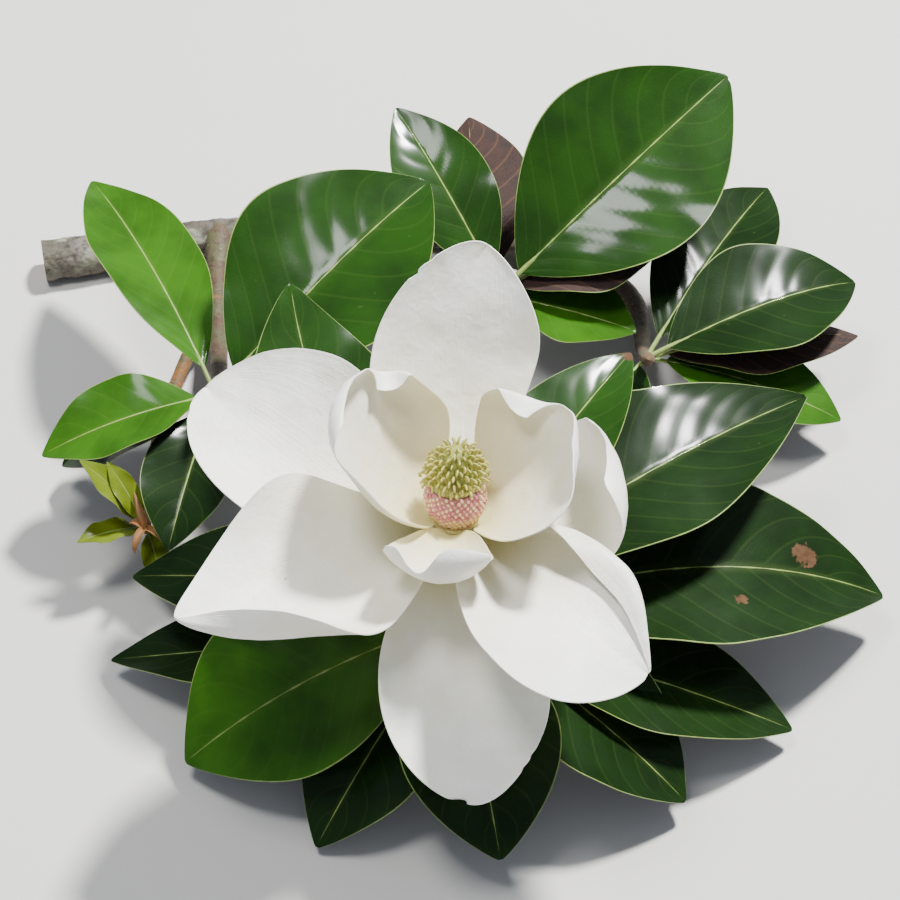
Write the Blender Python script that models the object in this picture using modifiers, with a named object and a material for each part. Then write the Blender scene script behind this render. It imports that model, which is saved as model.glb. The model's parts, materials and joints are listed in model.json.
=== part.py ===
"""Cut flowering branch of a large-flowered evergreen magnolia, lying on a level surface.

One open bloom with nine tepals, its cone of carpels, and five leafy shoots on one limb that is
sawn off square. Metres, +Z up, the surface at Z = 0, the bloom facing up and towards -Y.
Positions in the tables are millimetres, in a layout frame with the bloom's foot over X = Y = 0.
"""
import math

import bmesh
import bpy
import numpy as np
from mathutils import Matrix, Vector

MM = 0.001
# The bloom: its foot on the peduncle, in millimetres, and how far its axis leans away from the viewer
BLOOM_FOOT = (0, 0, 105)
BLOOM_LEAN = math.radians(15)
TEPAL_THICKNESS = 1.5 * MM
TEPAL_CELLS = (12, 10)
LEAF_THICKNESS = 2.0 * MM
LEAF_CELLS = (8, 4)
TIP_CROWDING = 1.4
SEAT_GAP = 0.3 * MM
TUBE_SIDES = 10
LIMB_SIDES = 16
RECEPTACLE_SIDES = 24
BAND_SIDES = 20
CONE_SIDES = 12
LIMB_STEPS = 13
MASS_STEPS = 6
END_STEP = 0.01
# A blade's course is worked out at so many places along it, and its section in so many steps across it
COURSE_POINTS = 401
SECTION_STEPS = 24
# How far the waves of one margin are ahead of the other's, in radians
WAVE_LAG = 2.1
WELD = 0.00001


def through(keys, s):
    """The quadratic that takes the three keys at s = 0, 0.5 and 1."""
    first, middle, last = keys
    return first * (1 - s) * (1 - 2 * s) + 4 * middle * s * (1 - s) + last * s * (2 * s - 1)


class Blade:
    """A thin curved blade, as a function from (s, q) to a point.

    s runs from the foot, 0, to the tip, 1, and q across the blade, from -1 to 1. The blade starts
    at the origin along +X with its upper face to +Z, and +q is its +Y side.
    """

    def __init__(self, shape):
        self.shape = shape
        s = np.linspace(0, 1, COURSE_POINTS)
        pitch, sweep, twist = (np.radians(through(shape[key], s)) for key in ("pitch", "sweep", "twist"))
        tip_roll, roll_start = shape["tip_roll"]
        pitch = pitch + np.radians(tip_roll) * np.clip((s - roll_start) / (1 - roll_start), 0, 1) ** 1.5
        zero = np.zeros_like(s)
        along = np.stack([np.cos(pitch), zero, np.sin(pitch)], 1)
        up = np.stack([-np.sin(pitch), zero, np.cos(pitch)], 1)
        side = np.stack([zero, zero + 1, zero], 1)
        cos_g, sin_g = np.cos(sweep)[:, None], np.sin(sweep)[:, None]
        along, side = cos_g * along + sin_g * side, cos_g * side - sin_g * along
        cos_t, sin_t = np.cos(twist)[:, None], np.sin(twist)[:, None]
        side, up = cos_t * side + sin_t * up, cos_t * up - sin_t * side
        steps = (along[1:] + along[:-1]) / 2 * shape["length"] / (len(s) - 1)
        self.s = s
        self.side, self.up = side, up
        self.middle = np.concatenate([np.zeros((1, 3)), np.cumsum(steps, 0)])

    def half_width(self, s):
        """Half the blade's width at s: a stalk or claw, a swell to the widest place, and the tip."""
        shape = self.shape
        stalk, peak = shape["stalk"], shape["peak"]
        t = np.clip((s - stalk) / (1 - stalk), 0, 1)
        claw, end = shape["claw"], shape["end"]
        before = np.pi / 2 * np.clip(t / peak, 0, 1)
        after = np.pi / 2 * np.clip((t - peak) / (1 - peak), 0, 1)
        rise = claw + (1 - claw) * np.sin(before) ** shape["base_power"]
        fall = end + (1 - end) * np.cos(after) ** shape["tip_power"]
        return shape["width"] / 2 * np.where(t < peak, rise, fall)

    def points(self, s, q):
        shape = self.shape
        t = np.abs(q)
        depth, across, breadth = shape["notch"]
        notch = depth * s**6 * np.exp(-(((q - across) / breadth) ** 2))
        s = s * (1 - shape["round"] * t**2 * s**4) - notch
        half = self.half_width(s) * (1 + np.sign(q) * through(shape["lean"], s))
        fold = np.radians(through(shape["fold"], s))
        cup = np.radians(through(shape["cup"], s))
        left, right = (np.radians(through(shape[key], s)) for key in ("curl_left", "curl_right"))
        curl = np.where(q > 0, left, right)
        level, lift = 0.0, 0.0
        start, end = shape["curl_span"]
        for k in range(SECTION_STEPS):
            u = t * (k + 0.5) / SECTION_STEPS
            rolled = np.clip((u - start) / (end - start), 0, 1)
            angle = fold + cup * u + curl * rolled**2 * (3 - 2 * rolled)
            level = level + np.cos(angle) / SECTION_STEPS
            lift = lift + np.sin(angle) / SECTION_STEPS
        phase = np.where(q > 0, shape["phase"], shape["phase"] + WAVE_LAG)
        wave = shape["wave"] * t**2 * np.sin(2 * np.pi * shape["waves"] * s + phase) * np.sin(np.pi * s)
        return (
            self.at(self.middle, s)
            + self.at(self.side, s) * (np.sign(q) * half * t * level)[..., None]
            + self.at(self.up, s) * (half * t * lift + wave)[..., None]
        )

    def at(self, table, s):
        return np.stack([np.interp(s, self.s, table[:, k]) for k in range(3)], -1)


# The shape of a blade. A triple gives the value at the foot, half way and at the tip, in degrees.
# stalk: the share of the length that is stalk; claw and end: the width at the stalk's end and at the
# tip, as shares of the full width; peak: where it is widest; base_power and tip_power: how full it is
# before and after that; lean: by what share the +q side is the wider; round and notch (depth, place
# across, breadth): how the tip is cut back; pitch, sweep and twist: how the middle line rises, turns
# sideways and rolls; fold, cup and curl: how the section rises at the middle, evenly across, and
# within curl_span of each margin; tip_roll (degrees, start): the roll of the tip itself.
TEPAL_SHAPE = dict(
    length=0.12, width=0.075, stalk=0.0, claw=0.17, peak=0.60, end=0.03, base_power=1.0, tip_power=0.55,
    round=0.0, notch=(0, 0, 1), pitch=(20, 10, 0), sweep=(0, 0, 0), twist=(0, 0, 0), fold=(0, 0, 0),
    cup=(45, 35, 25), curl_left=(0, 0, 0), curl_right=(0, 0, 0), curl_span=(0.4, 1), lean=(0, 0, 0),
    tip_roll=(0, 0.8), wave=0.0, waves=1.5, phase=0.0,
)

# Each tepal: azimuth about the bloom's axis (0 = the viewer's right, 90 = the far side), the height
# and radius of its foot on the receptacle, and what differs from the plain tepal.
TEPALS = {
    "outer_front": dict(azimuth=-86, foot=(-7, 7), length=0.116, width=0.077, pitch=(-15, -38, -44),
                        sweep=(0, 0, 26), cup=(20, 35, 25), lean=(0, 0, 0.12)),
    "outer_left": dict(azimuth=153, foot=(-7, 7), length=0.134, width=0.088, pitch=(0, 22, 8),
                       sweep=(0, 0, -24), twist=(0, -28, -30), cup=(20, 35, 25), lean=(0, -0.14, -0.16)),
    "outer_right": dict(azimuth=5, foot=(-7, 7), length=0.102, width=0.094, pitch=(-4, 30, 140),
                        twist=(0, 14, 0), cup=(20, 36, 26), end=0.5, lean=(0, 0.16, 0.08)),
    "middle_back": dict(azimuth=87, foot=(-2, 8), length=0.133, width=0.078, pitch=(10, 62, 62),
                        sweep=(4, 0, -32), cup=(45, 35, 25), lean=(0, 0, -0.30)),
    "middle_left": dict(azimuth=209, foot=(-2, 8), length=0.128, width=0.096, pitch=(12, 0, -2), peak=0.5,
                        twist=(0, -22, -12), cup=(35, 30, 20), curl_left=(0, 60, 120),
                        curl_span=(0.45, 0.85), tip_power=0.8, lean=(0, 0.16, 0.8)),
    "middle_right": dict(azimuth=-48, foot=(-2, 8), length=0.106, width=0.100, pitch=(12, -7, -34),
                         peak=0.64, end=0.05, base_power=1.2, sweep=(0, 0, 22), twist=(0, 10, 6),
                         cup=(35, 35, 25), curl_left=(0, 150, 180), curl_span=(0.55, 0.85),
                         lean=(0.1, 0.05, 0.1)),
    "inner_left": dict(azimuth=170, foot=(3, 10), length=0.088, width=0.100, pitch=(30, 60, 54),
                       cup=(55, 60, 30), twist=(0, -10, -10), curl_right=(0, 60, 110), curl_span=(0.5, 1),
                       base_power=0.6, peak=0.5, end=0.6, lean=(0, 0, 0), tip_roll=(100, 0.7)),
    "inner_right": dict(azimuth=0, foot=(3, 10), length=0.074, width=0.106, pitch=(30, 50, 74),
                        cup=(55, 60, 50), twist=(0, 10, 10), curl_left=(0, 30, 60),
                        curl_right=(-10, -24, -40), curl_span=(0.3, 1), base_power=0.7, peak=0.55,
                        end=0.6, tip_roll=(45, 0.75)),
    "inner_front": dict(azimuth=-98, foot=(3, 10), length=0.074, width=0.054, pitch=(30, 12, 136),
                        cup=(60, 60, 40), end=0.85, notch=(0.20, -0.3, 0.3)),
}

LEAF_SHAPE = dict(
    length=0.16, width=0.08, stalk=0.10, claw=0.06, peak=0.50, end=0.03, base_power=0.85, tip_power=0.9,
    round=0.0, notch=(0, 0, 1), pitch=(15, 0, -15), sweep=(0, 0, 0), twist=(0, 0, 0), fold=(14, 10, 6),
    cup=(0, 6, 10), curl_left=(0, 0, 0), curl_right=(0, 0, 0), curl_span=(0.4, 1), lean=(0, 0, 0),
    tip_roll=(0, 0.8), wave=0.0, waves=1.5, phase=0.0,
)

# Each stem: the node it grows from, which it is cut to, the middle line's points, the radius at the
# two ends of that line, part, the places along it (0 to 1) between which the shoot runs, and steps,
# the points that the shoot has. The leaf mass has the rest of the line. Each leaf: the place of its
# foot along the stem, its tip, how far it is rolled about its length, its width, and what differs
# from the plain leaf.
STEMS = {
    "right": dict(
        cut_to=None,
        line=[(-222, 258, 11), (-120, 278, 10.4), (-40, 282, 9.4), (40, 272, 9), (92, 236, 10),
              (98, 180, 24), (96, 144, 58)],
        radii=(11, 2.5), part=(0.60, 0.88), steps=7,
        leaves={
            "n": dict(at=0.94, tip=(206, 204, 50), roll=4, width=70, pitch=(12, 0, -24)),
            "m": dict(at=0.91, tip=(50, 90, 40), roll=0, width=50),
            "z": dict(at=0.90, tip=(168, 280, 44), roll=0, width=60),
            "o": dict(at=0.90, tip=(196, 138, 18), roll=0, width=54),
            "w": dict(at=0.92, tip=(206, 176, 40), roll=170, width=46, pitch=(-12, 0, 12)),
        },
    ),
    "bloom": dict(
        cut_to="limb",
        line=[(-44, 281, 12), (-32, 200, 9), (-18, 110, 7.4), (-6, 40, 7.45), (0, -4, 18), (0, -15, 48),
              (0, -6.2, 81.8), (0, -2.54, 95.53)],
        radii=(7.5, 6.2), part=(0, 0.70), steps=13,
        leaves={
            "c": dict(at=0.74, tip=(-123, -63, 12), roll=-16, width=90, pitch=(22, 0, -20),
                      sweep=(-6, 0, 6)),
            "r": dict(at=0.72, tip=(-62, -104, 6), roll=0, width=62),
            "p": dict(at=0.73, tip=(20, -120, 22), roll=4, width=74, pitch=(26, 0, -26)),
            "q": dict(at=0.74, tip=(104, -84, 12), roll=-6, width=72),
            "f": dict(at=0.72, tip=(204, 24, 22), roll=6, width=96, pitch=(20, 0, -24),
                      sweep=(12, 0, -12)),
            "e": dict(at=0.79, tip=(168, 101, 78), roll=4, width=84, peak=0.46, tip_power=1.0,
                      wave=3 * MM),
            "d": dict(at=0.80, tip=(83, 104, 106), roll=0, width=56),
            "b": dict(at=0.79, tip=(-78, 134, 122), roll=0, width=78, pitch=(-18, 0, 14),
                      sweep=(16, 0, -16)),
            "v": dict(at=0.76, tip=(-150, 16, 48), roll=-4, width=60),
            "g": dict(at=0.72, tip=(-162, -6, 12), roll=6, width=56, pitch=(0, 0, 0)),
            "z": dict(at=0.73, tip=(156, -44, 10), roll=0, width=66, pitch=(8, 0, -8)),
        },
    ),
    "left": dict(
        cut_to="limb",
        line=[(-128, 277, 12), (-125, 215, 18), (-120, 160, 32), (-117, 124, 54), (-116, 104, 78)],
        radii=(6, 3), part=(0, 0.74), steps=8,
        leaves={
            "a": dict(at=0.88, tip=(-13, 205, 120), roll=8, width=104, pitch=(8, 0, -16)),
            "h": dict(at=0.83, tip=(-190, 262, 66), roll=8, width=54, wave=2 * MM),
            "i": dict(at=0.86, tip=(-200, 88, 50), roll=0, width=48),
            "j": dict(at=0.78, tip=(-196, 108, 18), roll=0, width=44),
            "x": dict(at=0.80, tip=(-136, 38, 40), roll=0, width=46),
        },
    ),
    "young": dict(
        cut_to="left_shoot",
        line=[(-125, 222, 17), (-142, 178, 11), (-152, 124, 10), (-151, 76, 16), (-148, 50, 40)],
        radii=(4.2, 1.5), part=(0, 0.75), steps=8,
        leaves={
            "k1": dict(at=0.90, tip=(-178, 70, 68), roll=0, width=16, claw=0.25, end=0.25),
            "k2": dict(at=0.94, tip=(-166, 74, 62), roll=0, width=13, claw=0.25, end=0.25),
            "k3": dict(at=0.86, tip=(-180, 44, 38), roll=0, width=15, claw=0.25, end=0.25),
            "k4": dict(at=0.84, tip=(-138, 26, 22), roll=0, width=14, claw=0.25, end=0.25),
        },
    ),
    "top": dict(
        cut_to="limb",
        line=[(4, 279, 11), (9, 242, 18), (18, 208, 38), (27, 182, 64)],
        radii=(5.5, 2.5), part=(0, 0.70), steps=7,
        leaves={
            "l": dict(at=0.82, tip=(141, 288, 116), roll=24, width=102, pitch=(12, 0, -12)),
            "s": dict(at=0.76, tip=(8, 318, 60), roll=160, width=60, pitch=(-15, 0, 15)),
            "t": dict(at=0.72, tip=(93, 179, 40), roll=0, width=54, pitch=(8, 0, -8)),
            "u": dict(at=0.79, tip=(114, 236, 64), roll=166, width=64, pitch=(-12, 0, 12)),
            "y": dict(at=0.90, tip=(-30, 270, 110), roll=-10, width=50),
        },
    ),
}

# The middle of the bloom, in the bloom's own frame: (radius, height) from the bottom up
RECEPTACLE = [(6.2, -9.5), (8.8, -6), (9.6, -1), (10.6, 5.7)]
STAMEN_BAND = [(9.6, 6), (11.6, 9), (14, 15), (13.6, 21), (12.6, 24)]
CARPEL_CONE = [(12.4, 24.3), (11.6, 30), (9.4, 36), (6.4, 41), (2.2, 44)]
STYLE_ROWS = [(11.4, 26, 9), (9.8, 31, 8), (7.6, 36, 6), (4.0, 40, 4)]
STYLE_LENGTH = 9
STYLE_RADIUS = 2.2

# The plain colour of each kind of node, as sRGB
COLOURS = {
    "tepal": (0.95, 0.94, 0.88),
    "leaves": (0.13, 0.30, 0.10),
    "shoot": (0.36, 0.38, 0.20),
    "limb": (0.42, 0.38, 0.33),
    "receptacle": (0.72, 0.74, 0.45),
    "stamen_band": (0.80, 0.55, 0.58),
    "carpel_cone": (0.74, 0.75, 0.38),
}


def bloom_frame():
    """From the bloom's own frame, its axis along +Z and its foot at the origin, to the layout frame."""
    return Matrix.Translation(Vector(BLOOM_FOOT) * MM) @ Matrix.Rotation(-BLOOM_LEAN, 4, "X")


def smooth_line(points, at):
    """Places on the Catmull-Rom line through the points, in metres, for at from 0 to 1."""
    points = np.array(points, float) * MM
    points = np.concatenate([[2 * points[0] - points[1]], points, [2 * points[-1] - points[-2]]])
    at = np.asarray(at) * (len(points) - 3)
    piece = np.clip(at.astype(int), 0, len(points) - 4)
    f = (at - piece)[:, None]
    a, b, c, d = (points[piece + k] for k in range(4))
    return 0.5 * (2 * b + (c - a) * f + (2 * a - 5 * b + 4 * c - d) * f**2 + (3 * b - a - 3 * c + d) * f**3)


def add_object(name, data, collection, place=Matrix()):
    obj = bpy.data.objects.new(name, data)
    obj.matrix_world = place
    collection.objects.link(obj)
    return obj


def mesh_of(name, bm):
    mesh = bpy.data.meshes.new(name)
    bm.to_mesh(mesh)
    bm.free()
    mesh.shade_smooth()
    return mesh


def applied(obj):
    """The object with its modifiers applied, or with its curve made a mesh, its caps welded on."""
    bpy.context.view_layer.update()
    evaluated = obj.evaluated_get(bpy.context.evaluated_depsgraph_get())
    mesh = bpy.data.meshes.new_from_object(evaluated)
    bm = bmesh.new()
    bm.from_mesh(mesh)
    bmesh.ops.remove_doubles(bm, verts=bm.verts, dist=WELD)
    bm.to_mesh(mesh)
    bm.free()
    mesh.name = obj.name
    made = add_object(obj.name + "_applied", mesh, obj.users_collection[0], obj.matrix_world.copy())
    name = obj.name
    bpy.data.objects.remove(obj)
    made.name = name
    return made


def add_tube(name, line, radii, part, sides, steps, collection, grow=0.0, gap=0.0):
    """The piece of a tapering stem between two places along its line, starting gap further on.

    It is a curve with a bevel, made a mesh. grow makes its radius larger, for a cutter. A short first
    and last step keep the ends square to the stem.
    """
    start, end = part
    short = END_STEP * (end - start)
    at = np.concatenate([[start], np.linspace(start + short, end - short, steps), [end]])
    middle = smooth_line(line, at)
    first = middle[1] - middle[0]
    middle[:2] += gap * first / np.linalg.norm(first)
    curve = bpy.data.curves.new(name, "CURVE")
    curve.dimensions = "3D"
    curve.bevel_depth = 1.0
    curve.bevel_resolution = (sides - 4) // 2
    curve.use_fill_caps = True
    spline = curve.splines.new("POLY")
    spline.points.add(len(at) - 1)
    for point, place, co in zip(spline.points, at, middle):
        point.co = (*co, 1)
        point.radius = (radii[0] + (radii[1] - radii[0]) * place) * MM + grow
    return applied(add_object(name, curve, collection))


def add_turned(name, profile, sides, collection, grow=0.0):
    """A profile turned about the bloom's axis by a Screw, closed on the axis at its top and bottom."""
    bm = bmesh.new()
    outline = [((radius * MM + grow), height * MM) for radius, height in profile[::-1]]
    outline = [(0, outline[0][1])] + outline + [(0, outline[-1][1])]
    corners = [bm.verts.new((radius, 0, height)) for radius, height in outline]
    for upper, lower in zip(corners, corners[1:]):
        bm.edges.new((upper, lower))
    obj = add_object(name, mesh_of(name, bm), collection, bloom_frame())
    screw = obj.modifiers.new("turn", "SCREW")
    screw.steps = screw.render_steps = sides
    screw.use_merge_vertices = True
    screw.merge_threshold = WELD
    return obj


def add_blade(name, shape, cells, thickness, place, collection):
    """One blade: a grid bent to the blade's form, with its thickness from Solidify."""
    bm = bmesh.new()
    bmesh.ops.create_grid(bm, x_segments=cells[0], y_segments=cells[1], size=1)
    corners = np.array([v.co for v in bm.verts])
    rows = 1 - (1 - (corners[:, 0] + 1) / 2) ** TIP_CROWDING
    for vertex, point in zip(bm.verts, Blade(shape).points(rows, corners[:, 1])):
        vertex.co = point
    obj = add_object(name, mesh_of(name, bm), collection, place)
    solid = obj.modifiers.new("thickness", "SOLIDIFY")
    solid.thickness = thickness
    solid.offset = 0
    return obj


def leaf_between(shape, base, tip, roll):
    """The leaf's shape with its length set to reach from base to tip, and the matrix that lays it there."""
    blade = Blade(shape)
    chord = Vector(blade.middle[-1])
    shape = shape | {"length": shape["length"] * (tip - base).length / chord.length}

    def frame(direction, up):
        direction = direction.normalized()
        side = up.cross(direction).normalized()
        return Matrix((direction, side, direction.cross(side))).transposed()

    own = frame(chord, Vector(blade.up[200]))
    there = Matrix.Rotation(math.radians(roll), 3, tip - base) @ frame(tip - base, Vector((0, 0, 1)))
    return shape, Matrix.Translation(base) @ (there @ own.transposed()).to_4x4()


def cut(obj, name, cutter):
    modifier = obj.modifiers.new(name, "BOOLEAN")
    modifier.operation = "DIFFERENCE"
    modifier.object = cutter


def join(obj, pieces):
    """Fuses every object of a collection to this one by one union, applied, and removes them."""
    modifier = obj.modifiers.new("join", "BOOLEAN")
    modifier.operation = "UNION"
    modifier.operand_type = "COLLECTION"
    modifier.collection = pieces
    made = applied(obj)
    for piece in list(pieces.objects):
        bpy.data.objects.remove(piece)
    bpy.data.collections.remove(pieces)
    return made


def piece_collection(name, cutters):
    made = bpy.data.collections.new(name)
    cutters.children.link(made)
    return made


def add_tepal(name, own, branch, seat):
    shape = TEPAL_SHAPE | {k: v for k, v in own.items() if k not in ("azimuth", "foot")}
    height, radius = own["foot"]
    turn = Matrix.Rotation(math.radians(own["azimuth"]), 4, "Z")
    place = bloom_frame() @ turn @ Matrix.Translation((radius * MM, 0, height * MM))
    cut(add_blade("tepal_" + name, shape, TEPAL_CELLS, TEPAL_THICKNESS, place, branch), "seat", seat)


def add_stem(name, stem, branch, cutters):
    """A shoot, cut to the node it grows from, and its leaf mass: the stem's end with its leaves fused on."""
    line, radii, part, steps = stem["line"], stem["radii"], stem["part"], stem["steps"]
    gap = 0 if stem["cut_to"] else SEAT_GAP
    shoot = add_tube(name + "_shoot", line, radii, part, TUBE_SIDES, steps, branch, gap=gap)
    if stem["cut_to"]:
        cut(shoot, "saddle", bpy.data.objects[stem["cut_to"] + "_cutter"])
    if name == "left":
        add_tube("left_shoot_cutter", line, radii, part, TUBE_SIDES, steps, cutters, grow=SEAT_GAP)
    rest = (part[1], 1)
    mass = add_tube(name + "_leaves", line, radii, rest, TUBE_SIDES, MASS_STEPS, branch, gap=SEAT_GAP)
    leaves = piece_collection(name + "_leaf_pieces", cutters)
    for leaf, own in stem["leaves"].items():
        shape = LEAF_SHAPE | {k: v for k, v in own.items() if k not in ("at", "tip", "roll")}
        shape["width"] *= MM
        base = Vector(smooth_line(line, [own["at"]])[0])
        shape, place = leaf_between(shape, base, Vector(own["tip"]) * MM, own["roll"])
        add_blade(name + "_leaf_" + leaf, shape, LEAF_CELLS, LEAF_THICKNESS, place, leaves)
    join(mass, leaves)


def add_limb(branch, cutters):
    """The limb: the right stem's line, up to where the right shoot goes on."""
    stem = STEMS["right"]
    line, radii, part = stem["line"], stem["radii"], (0, stem["part"][0])
    add_tube("limb", line, radii, part, LIMB_SIDES, LIMB_STEPS, branch)
    add_tube("limb_cutter", line, radii, part, LIMB_SIDES, LIMB_STEPS, cutters, grow=SEAT_GAP)


def add_carpel_cone(branch, cutters):
    """The cone of carpels: a turned core with the short styles that stand out of it fused on."""
    core = add_turned("carpel_cone", CARPEL_CONE, CONE_SIDES, branch)
    styles = piece_collection("style_pieces", cutters)
    for row, (radius, height, count) in enumerate(STYLE_ROWS):
        for k in range(count):
            turn = Matrix.Rotation(2 * math.pi * (k + 0.5 * (row % 2)) / count, 4, "Z")
            lean = Matrix.Rotation(math.radians(12 + 3 * radius), 4, "Y")
            place = bloom_frame() @ turn @ Matrix.Translation((radius * 0.85 * MM, 0, height * MM)) @ lean
            bm = bmesh.new()
            bmesh.ops.create_cone(
                bm, cap_ends=True, segments=6, radius1=STYLE_RADIUS * MM, radius2=0.4 * STYLE_RADIUS * MM,
                depth=STYLE_LENGTH * MM, matrix=Matrix.Translation((0, 0, STYLE_LENGTH * MM / 2)),
            )
            name = "style_%d_%d" % (row, k)
            add_object(name, mesh_of(name, bm), styles, place)
    join(core, styles)


def colour_of(name):
    return next(colour for kind, colour in COLOURS.items() if kind in name)


def add_material(obj):
    material = bpy.data.materials.new(obj.name)
    material.use_nodes = True
    linear = [c / 12.92 if c <= 0.04045 else ((c + 0.055) / 1.055) ** 2.4 for c in colour_of(obj.name)]
    material.diffuse_color = (*linear, 1)
    shader = material.node_tree.nodes["Principled BSDF"]
    shader.inputs["Base Color"].default_value = (*linear, 1)
    shader.inputs["Roughness"].default_value = 0.5
    obj.data.materials.append(material)


def centre(branch):
    """Moves everything so that the middle of the branch's box, at its bottom, is the origin."""
    bpy.context.view_layer.update()
    graph = bpy.context.evaluated_depsgraph_get()
    corners = []
    for obj in branch.objects:
        evaluated = obj.evaluated_get(graph)
        corners += [evaluated.matrix_world @ vertex.co for vertex in evaluated.data.vertices]
    low = [min(corner[k] for corner in corners) for k in range(3)]
    high = [max(corner[k] for corner in corners) for k in range(3)]
    shift = Vector(((low[0] + high[0]) / 2, (low[1] + high[1]) / 2, low[2]))
    for obj in bpy.data.objects:
        obj.location -= shift


def build():
    for obj in list(bpy.data.objects):
        bpy.data.objects.remove(obj)
    scene = bpy.context.scene.collection
    branch = bpy.data.collections.new("magnolia_branch")
    scene.children.link(branch)
    cutters = bpy.data.collections.new("cutters")
    cutters.hide_render = True
    scene.children.link(cutters)
    seat = add_turned("tepal_seat", RECEPTACLE, RECEPTACLE_SIDES, cutters, grow=SEAT_GAP)
    for name, own in TEPALS.items():
        add_tepal(name, own, branch, seat)
    add_turned("receptacle", RECEPTACLE, RECEPTACLE_SIDES, branch)
    add_turned("stamen_band", STAMEN_BAND, BAND_SIDES, branch)
    add_carpel_cone(branch, cutters)
    add_limb(branch, cutters)
    for name, stem in STEMS.items():
        add_stem(name, stem, branch, cutters)
    for obj in cutters.objects:
        obj.hide_render = True
        obj.display_type = "WIRE"
    for obj in branch.objects:
        add_material(obj)
    centre(branch)


build()
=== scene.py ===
"""Looks of a cut flowering branch of a large-flowered evergreen magnolia.

Each leaf mass, shoot, tepal and part of the bloom's middle takes the place of its packed solid. It is
made by the same rule as that solid, from the same named sizes, only finer. Metres, +Z up. Positions
in the tables are millimetres in the layout frame, whose origin is under the bloom's foot, and SHIFT
takes them to the frame of the packed model.
"""
import json
import math
import random

import bpy
import numpy as np
from mathutils import Matrix, Vector, noise


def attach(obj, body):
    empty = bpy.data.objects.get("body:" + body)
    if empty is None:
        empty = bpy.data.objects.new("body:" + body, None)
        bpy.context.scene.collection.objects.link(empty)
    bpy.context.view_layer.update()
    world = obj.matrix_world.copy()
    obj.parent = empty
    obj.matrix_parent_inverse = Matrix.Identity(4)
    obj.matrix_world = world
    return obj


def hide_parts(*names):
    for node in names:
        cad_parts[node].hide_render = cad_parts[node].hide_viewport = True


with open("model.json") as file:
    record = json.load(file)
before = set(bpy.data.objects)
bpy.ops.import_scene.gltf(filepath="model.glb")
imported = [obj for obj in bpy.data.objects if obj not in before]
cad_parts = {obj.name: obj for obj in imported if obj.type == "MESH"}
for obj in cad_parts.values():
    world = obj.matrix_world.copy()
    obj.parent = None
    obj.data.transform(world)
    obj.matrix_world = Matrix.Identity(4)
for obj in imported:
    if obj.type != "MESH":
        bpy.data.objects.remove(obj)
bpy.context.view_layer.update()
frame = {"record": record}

bl_info = {
    "name": "Magnolia Branch",
    "version": (1, 0, 0),
    "blender": (4, 5, 0),
    "location": "View3D > Sidebar > Magnolia",
    "description": "Models a cut flowering magnolia branch round its packed solids",
    "category": "Add Mesh",
}

MM = 0.001
SEED = 23
GOLDEN_ANGLE = math.pi * (3 - math.sqrt(5))
# The middle of the limb's sawn end, in the packed model's frame
CUT_END = Vector(frame["record"]["mounts"][0]["pos_m"])

# The bloom: its foot on the peduncle, in millimetres, and how far its axis leans away from the viewer
BLOOM_FOOT = (0, 0, 105)
BLOOM_LEAN = math.radians(15)

# Cells along and across each kind of piece, and the steps of the lines that they are read from
TEPAL_CELLS = (84, 56)
LEAF_CELLS = (64, 30)
SCALE_CELLS = (20, 8)
RIB_CELLS = (40, 8)
STYLE_CELLS = (9, 7)
BARK_CELL = 0.8 * MM
BLADE_POINTS = 401
COURSE_POINTS = 400
STYLE_POINTS = 60
SECTION_STEPS = 24

# Where a blade's narrow last column starts, how far its rows crowd towards the tip, and how far the
# waves of its two margins are out of step, in radians
MARGIN = 0.988
TIP_CROWDING = 1.25
WAVE_LAG = 2.1
VEIN_SPACING = 24 * MM
WELD = 0.01 * MM
TINY = 1e-6

# The bark's lumps: how long, how many octaves, and their share of the relief. A pore's half length
# and half breadth
BARK_LUMPS = ((9 * MM, 4, 0.9), (2.6 * MM, 3, 0.5))
PORE = (0.5 * MM, 1.3 * MM)
# The share of a turned piece's rows that closes each of its ends
CAP = 0.12

# A blade's shape. Lengths are in metres, and places along it run from 0 at its foot to 1 at its tip.
# The stalk ends at its place. The claw and the end are the foot's and the tip's share of the width,
# and the peak is the widest place. Angles, in degrees, and lean, a margin's share of extra width,
# are given at the foot, the middle and the tip. A nick is its place, its side, its depth and breadth.
BLADE_SHAPE = dict(
    end=0.03, notch=(0, 0, 1), sweep=(0, 0, 0), twist=(0, 0, 0), curl_left=(0, 0, 0), curl_right=(0, 0, 0),
    curl_span=(0.4, 1), lean=(0, 0, 0), tip_roll=(0, 0.8), phase=0.0, nicks=(),
)
TEPAL_SHAPE = BLADE_SHAPE | dict(
    length=0.12, width=0.075, stalk=0.0, claw=0.17, peak=0.60, base_power=1.0, tip_power=0.55,
    pitch=(20, 10, 0), fold=(0, 0, 0), cup=(45, 35, 25), wave=0.8 * MM, waves=1.8, crease=(0.6 * MM, 0.16),
)
LEAF_SHAPE = BLADE_SHAPE | dict(
    length=0.16, width=0.08, stalk=0.10, claw=0.02, peak=0.50, base_power=0.85, tip_power=0.9,
    pitch=(15, 0, -15), fold=(14, 10, 6), cup=(0, 6, 10), wave=1.2 * MM, waves=2.5, crease=(0, 1),
)
# A papery scale of the young shoot's end, where it differs from a leaf
SCALE_SHAPE = dict(
    width=5 * MM, stalk=0.0, claw=0.5, peak=0.3, pitch=(50, -10, -90), cup=(70, 50, 30), wave=0.0
)

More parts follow.
